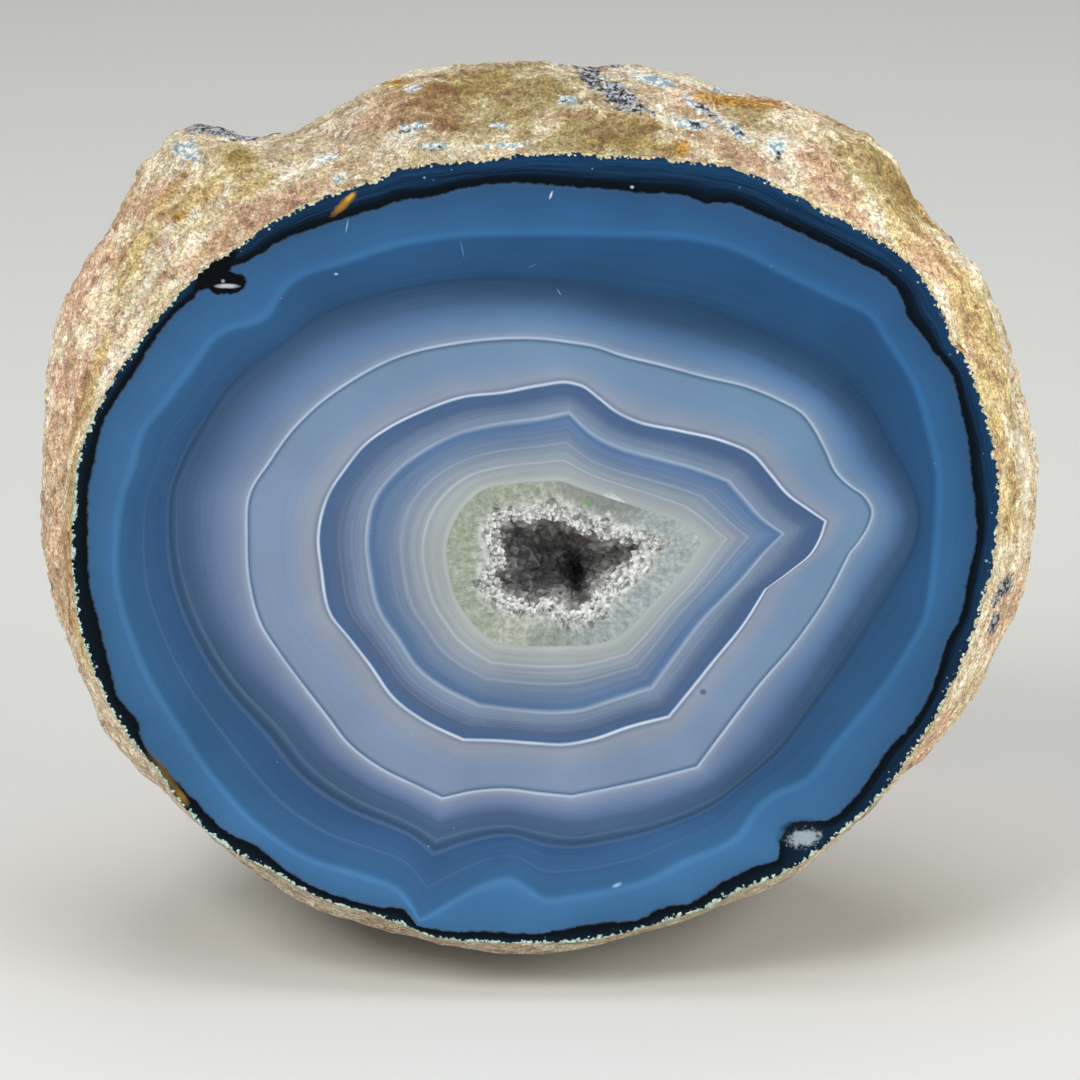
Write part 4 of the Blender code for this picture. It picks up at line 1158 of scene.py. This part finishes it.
def make_lining(settings, columns):
    """The quartz: a sawn ring, a crown of white points, and darker points down the void."""
    edge = columns[LAST_BAND][::LINING_STRIDE]
    rows, zones = lining_rows(edge)
    lining = ring_mesh("druzy_lining", rows)
    set_attribute(lining, "zone", np.repeat(zones, rows.shape[1] + 1))
    set_attribute(lining, "tip", np.full(len(lining.data.vertices), LINING_TIP))
    edit_all(lining)
    bpy.ops.mesh.remove_doubles(threshold=0.001 * MM)
    bpy.ops.object.mode_set(mode="OBJECT")
    middle = face_place(HOLLOW_CENTRE)
    void_edge = face_place(VOID_EDGE)
    draw = random.Random(settings.seed)

    def crown_place(draw):
        turn = draw.uniform(0.0, math.tau)
        inner = float(radius_at(void_edge, middle, [turn])[0])
        outer = float(radius_at(edge, middle, [turn])[0])
        bay = noise.noise(Vector((3.0 * math.cos(turn), 3.0 * math.sin(turn), 4.4)))
        room = min(CROWN_WIDTH * (1.0 + 0.9 * bay), 0.7 * (outer - inner))
        part = draw.random() ** 0.8
        way = np.array([math.cos(turn), math.sin(turn)])
        radius = inner + room * part
        depth = CROWN_DEPTH * (1.0 - part) ** 1.5 + 0.25 * MM
        spot = np.array([*(middle + way * radius), depth])
        return spot, np.array([-way[0], -way[1], -0.9]), 1.0

    def void_place(draw):
        turn = draw.uniform(0.0, math.tau)
        part = draw.random() ** 0.75
        inner = float(radius_at(void_edge, middle, [turn])[0])
        way = np.array([math.cos(turn), math.sin(turn)])
        depth = max(1.6 * MM, VOID_DEPTH * part)
        radius = inner * cup_shrink(min(0.999, depth / VOID_DEPTH), VOID_FULLNESS)
        spot = np.array([*(middle + way * radius), depth])
        return spot, np.array([-way[0], -way[1], -1.5 * part ** 3]), 2.0

    crown = add_points("crown", crystal_points(draw, settings.crown_crystals, crown_place,
                                               (0.24 * MM, 0.66 * MM), (0.40 * MM, 1.25 * MM), 0.6))
    void = add_points("void", crystal_points(draw, settings.void_crystals, void_place,
                                             (0.60 * MM, 1.35 * MM), (0.4 * MM, 1.3 * MM), 0.6))
    deselect_all()
    for piece in (crown, void, lining):
        piece.select_set(True)
    bpy.context.view_layer.objects.active = lining
    bpy.ops.object.join()
    edit_all(lining)
    bpy.ops.mesh.normals_make_consistent(inside=False)
    bpy.ops.object.mode_set(mode="OBJECT")
    places = to_face(coordinates(lining))
    set_attribute(lining, "face_mm", places / MM, "FLOAT_VECTOR")
    away = places[:, :2] - middle
    turn, reach = np.arctan2(away[:, 1], away[:, 0]), np.hypot(away[:, 0], away[:, 1])
    rays = np.column_stack((directions(turn) * COLUMNS_ROUND, reach / COLUMN_LENGTH))
    set_attribute(lining, "columns", rays, "FLOAT_VECTOR")
    share = 0.45 * reach / (17.0 * MM) * (1.0 - 0.6 * np.clip(places[:, 2] / HOLLOW_DEPTH, 0.0, 1.0))
    flat = 0.5 + directions(turn) * share[:, None]

    def wrap(vertex, part):
        return None if vertex is None else flat[vertex]

    bake_map(lining, range(len(places)), wrap)
    lining.data.materials.append(quartz_material())
    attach(lining, "root")
    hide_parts("quartz_crust")


def quartz_material():
    """Druzy quartz: milky grey-green where sawn, clear to white points with painted shade at their bases,
    grey in the dark of the void.
    """
    made, tree, shader = new_material("druzy quartz")
    place, way = [node(tree, "Attribute", output=1, attribute_name=name) for name in ("face_mm", "columns")]
    zone, tip = [node(tree, "Attribute", output=2, attribute_name=name) for name in ("zone", "tip")]
    cloud = {name: node(tree, "TexNoise", {"Vector": place, "Scale": 1.0 / size, "Detail": detail,
                                           "Roughness": rough})
             for name, (size, detail, rough) in QUARTZ_PATTERNS.items()}
    columns = node(tree, "TexNoise", {"Vector": way, "Scale": 1.0, "Detail": 4.0, "Roughness": 0.7})
    grain, uneven = [node(tree, "Math", {0: noisy, 1: 0.5}, operation="SUBTRACT")
                     for noisy in (cloud["grain"], columns)]
    ragged = node(tree, "Math", {0: grain, 1: 0.9, 2: zone}, operation="MULTIPLY_ADD")
    leaning = node(tree, "VectorMath", {0: place, 1: (0.05, -0.02, 0.0)}, 1, operation="DOT_PRODUCT")
    side = node(tree, "Math", {0: cloud["patches"], 1: 0.8, 2: leaning}, operation="MULTIPLY_ADD")
    side = node(tree, "Math", {0: side, 1: -0.25}, operation="ADD")
    # painted shade: the points run from grey at their bases to white at their tips
    shade = node(tree, "Math", {0: tip, 1: 0.55, 2: cloud["shade"]}, operation="MULTIPLY_ADD")
    sawn, tone, mottle, white, void_grey = [
        node(tree, "ValToRGB", {0: source}, stops=stops) for source, stops in (
            (side, [(0.0, "#a2ab9a"), (0.22, "#b4b8ad"), (0.4, "#98a298"), (0.6, "#9ca6a4"),
                    (1.0, "#a9b3b5")]),
            (columns, [(0.34, 0.84), (0.5, 0.98), (0.66, 1.16)]),
            (cloud["grain"], [(0.32, 0.72), (0.5, 1.0), (0.68, 1.3)]),
            (shade, [(0.35, "#565a58"), (0.55, "#8d918d"), (0.75, "#c6c9c4"), (0.98, "#f3f4f1")]),
            (cloud["void_cloud"], [(0.36, "#656463"), (0.5, "#8b8a89"), (0.64, "#b2b1af")]))]
    for paint in (tone, mottle):
        sawn = node(tree, "Mix", {0: 1.0, MIX_A: sawn, MIX_B: paint}, MIX_COLOUR, data_type="RGBA",
                    blend_type="MULTIPLY")
    # painted shade and light: the void's crystals are darker at their bases and lighter at their points,
    # each with its own tone
    painted_light_and_tone = node(tree, "MapRange", {0: tip, 1: -0.2, 2: 1.2, 3: 0.55, 4: 1.5})
    # painted light: the void is made up to 1.7 times lighter towards its right
    painted_side_light = node(tree, "MapRange", {0: leaning, 1: 0.2, 2: 0.45, 3: 1.0, 4: 1.7})
    painted_light_and_tone = node(tree, "Math", {0: painted_light_and_tone, 1: painted_side_light}, operation="MULTIPLY")
    void_grey = node(tree, "VectorMath", {0: void_grey, "Scale": painted_light_and_tone}, operation="SCALE")

    # a grey bruise and a green speck on the sawn ring, painted shade in a cleft and a tan crystal down the
    # void
    turned = {0.0: place}
    bruise, speck, painted_cleft_shade, tan = [oval(tree, turned, *spot) for spot in QUARTZ_SPOTS]
    speck = node(tree, "Math", {0: cloud["grain"], 1: -1.6, 2: speck}, operation="MULTIPLY_ADD")
    painted_cleft_shade = node(tree, "Math", {0: grain, 1: 1.6, 2: painted_cleft_shade}, operation="MULTIPLY_ADD")
    bruise, speck, painted_cleft_shade, tan = [
        node(tree, "MapRange", {0: reach, 1: start, 2: end, 3: thickness, 4: 0.0})
        for reach, start, end, thickness in ((bruise, 0.6, 1.1, 0.55), (speck, -0.5, 0.0, 0.85),
                                             (painted_cleft_shade, 0.3, 1.1, 0.93), (tan, 0.2, 1.1, 0.6))]
    for share, paint in ((bruise, "#7d7d7b"), (speck, "#79a866")):
        sawn = node(tree, "Mix", {0: share, MIX_A: sawn, MIX_B: paint}, MIX_COLOUR, data_type="RGBA")
    # painted shade: the cleft in the void is painted near black
    for share, paint in ((painted_cleft_shade, "#15110e"), (tan, "#6a4c3a")):
        void_grey = node(tree, "Mix", {0: share, MIX_A: void_grey, MIX_B: paint}, MIX_COLOUR, data_type="RGBA")

    # the sawn ring runs into the white crown, and the crown into the grey of the void
    spread = node(tree, "Math", {0: uneven, 1: 0.7, 2: ragged}, operation="MULTIPLY_ADD")
    crown = node(tree, "MapRange", {0: spread, 1: 0.57, 2: 1.0})
    inside = node(tree, "MapRange", {0: ragged, 1: 1.3, 2: 1.5})
    colour = sawn
    for share, paint in ((crown, white), (inside, void_grey)):
        colour = node(tree, "Mix", {0: share, MIX_A: colour, MIX_B: paint}, MIX_COLOUR, data_type="RGBA")
    tree.links.new(colour, shader.inputs["Base Color"])
    shine = node(tree, "MapRange", {0: zone, 1: 1.0, 2: 2.0, 3: 0.16, 4: 0.42})
    tree.links.new(shine, shader.inputs["Roughness"])
    shader.inputs["IOR"].default_value = 1.544
    shader.inputs["Transmission Weight"].default_value = 0.15
    return made


# Stage

def aim(thing, target):
    """Turn a light so that it looks at a point."""
    thing.rotation_euler = (Vector(target) - thing.location).to_track_quat("-Z", "Y").to_euler()


def make_stage(settings):
    """A pale floor, soft lights and the photograph's camera."""
    deselect_all()
    bpy.ops.mesh.primitive_plane_add(size=6.0, location=(0.0, 0.0, 0.0))
    floor = bpy.context.object
    floor.name = "floor"
    made, tree, shader = new_material("pale matt board")
    shader.inputs["Base Color"].default_value = linear_colour("#d9d9d6")
    shader.inputs["Roughness"].default_value = 0.9
    floor.data.materials.append(made)
    for name, place, size, power in (
            ("key", (-0.55, -0.60, 0.85), 0.55, settings.key_power),
            ("fill", (0.75, -0.45, 0.50), 0.70, settings.fill_power),
            ("top", (0.05, 0.25, 1.00), 0.80, settings.top_power)):
        bpy.ops.object.light_add(type="AREA", location=place)
        light = bpy.context.object
        light.name = name
        light.data.size = size
        light.data.energy = power
        aim(light, FACE_POINT)
    # a small lamp at the lens lights the void, and the polish does not mirror it
    bpy.ops.object.light_add(type="POINT", location=FACE_POINT + FACE_NORMAL * 1.01 * VIEW_DISTANCE)
    lens_light = bpy.context.object
    lens_light.name = "lens_light"
    lens_light.data.shadow_soft_size = 0.004
    lens_light.data.energy = settings.lens_power
    lens_light.visible_glossy = False
    lens_light.visible_transmission = False
    world = bpy.data.worlds.new("studio")
    bpy.context.scene.world = world
    world.use_nodes = True
    tree = world.node_tree
    background = tree.nodes["Background"]
    seen = node(tree, "LightPath", output=0)
    strength = node(tree, "MapRange", {0: seen, 3: settings.ambient, 4: 0.72})
    background.inputs["Color"].default_value = linear_colour("#ecedee")
    tree.links.new(strength, background.inputs["Strength"])
    bpy.ops.object.camera_add(location=FACE_POINT + FACE_NORMAL * VIEW_DISTANCE,
                              rotation=(math.radians(90.0) - FACE_LEAN, 0.0, 0.0))
    camera = bpy.context.object
    camera.data.sensor_width = SENSOR
    camera.data.lens = SENSOR * VIEW_DISTANCE / (PICTURE_SIZE * PIXEL)
    camera.data.clip_start = 0.01
    bpy.context.scene.camera = camera
    bpy.context.scene.view_settings.view_transform = "Standard"


class DruzyAgateSettings(bpy.types.PropertyGroup):
    rind_relief: bpy.props.FloatProperty(
        name="Rind relief", description="Height of the rind's fine relief, as a share",
        default=1.0, min=0.0, max=2.0)
    rind_brightness: bpy.props.FloatProperty(
        name="Rind brightness", description="How light the rind is, as a share", default=1.12)
    crown_crystals: bpy.props.IntProperty(
        name="Crown crystals", description="White points round the void", default=1150, min=0)
    void_crystals: bpy.props.IntProperty(
        name="Void crystals", description="Darker points inside the void", default=620, min=0)
    seed: bpy.props.IntProperty(name="Seed", description="Seed of the crystals", default=18)
    key_power: bpy.props.FloatProperty(
        name="Key light", description="Power of the key light", default=7.6, unit="POWER")
    fill_power: bpy.props.FloatProperty(
        name="Fill light", description="Power of the fill light", default=4.6, unit="POWER")
    top_power: bpy.props.FloatProperty(
        name="Top light", description="Power of the top light", default=5.6, unit="POWER")
    lens_power: bpy.props.FloatProperty(
        name="Lens light", description="Power of the small light at the lens", default=2.4,
        unit="POWER")
    ambient: bpy.props.FloatProperty(
        name="Ambient light", description="Strength of the studio's own light", default=0.12)


class AGATE_OT_stage(bpy.types.Operator):
    """Set up the floor, the lights and the camera"""
    bl_idname = "agate.stage"
    bl_label = "Stage"

    def execute(self, context):
        make_stage(context.scene.druzy_agate)
        return {"FINISHED"}


class AGATE_OT_rind(bpy.types.Operator):
    """Make the rough rind"""
    bl_idname = "agate.rind"
    bl_label = "Rind"

    def execute(self, context):
        make_rind(context.scene.druzy_agate)
        return {"FINISHED"}


class AGATE_OT_face(bpy.types.Operator):
    """Make the polished, banded face inside the rind's edge"""
    bl_idname = "agate.face"
    bl_label = "Banded face"

    def execute(self, context):
        make_face(bpy.data.objects["rind"])
        return {"FINISHED"}


class AGATE_OT_lining(bpy.types.Operator):
    """Make the quartz that lines the hollow"""
    bl_idname = "agate.lining"
    bl_label = "Druzy lining"

    def execute(self, context):
        make_lining(context.scene.druzy_agate, face_columns(bpy.data.objects["rind"]))
        return {"FINISHED"}


class AGATE_PT_panel(bpy.types.Panel):
    bl_idname = "AGATE_PT_panel"
    bl_label = "Druzy agate"
    bl_space_type = "VIEW_3D"
    bl_region_type = "UI"
    bl_category = "Agate"

    def draw(self, context):
        settings = context.scene.druzy_agate
        for name in settings.__annotations__:
            self.layout.prop(settings, name)
        for made in OPERATORS:
            self.layout.operator(made.bl_idname)


OPERATORS = (AGATE_OT_stage, AGATE_OT_rind, AGATE_OT_face, AGATE_OT_lining)
CLASSES = (DruzyAgateSettings, *OPERATORS, AGATE_PT_panel)


def register():
    for made in CLASSES:
        bpy.utils.register_class(made)
    bpy.types.Scene.druzy_agate = bpy.props.PointerProperty(type=DruzyAgateSettings)


def unregister():
    del bpy.types.Scene.druzy_agate
    for made in reversed(CLASSES):
        bpy.utils.unregister_class(made)


def main():
    register()
    bpy.ops.agate.stage()
    bpy.ops.agate.rind()
    bpy.ops.agate.face()
    bpy.ops.agate.lining()


if __name__ == "__main__":
    main()
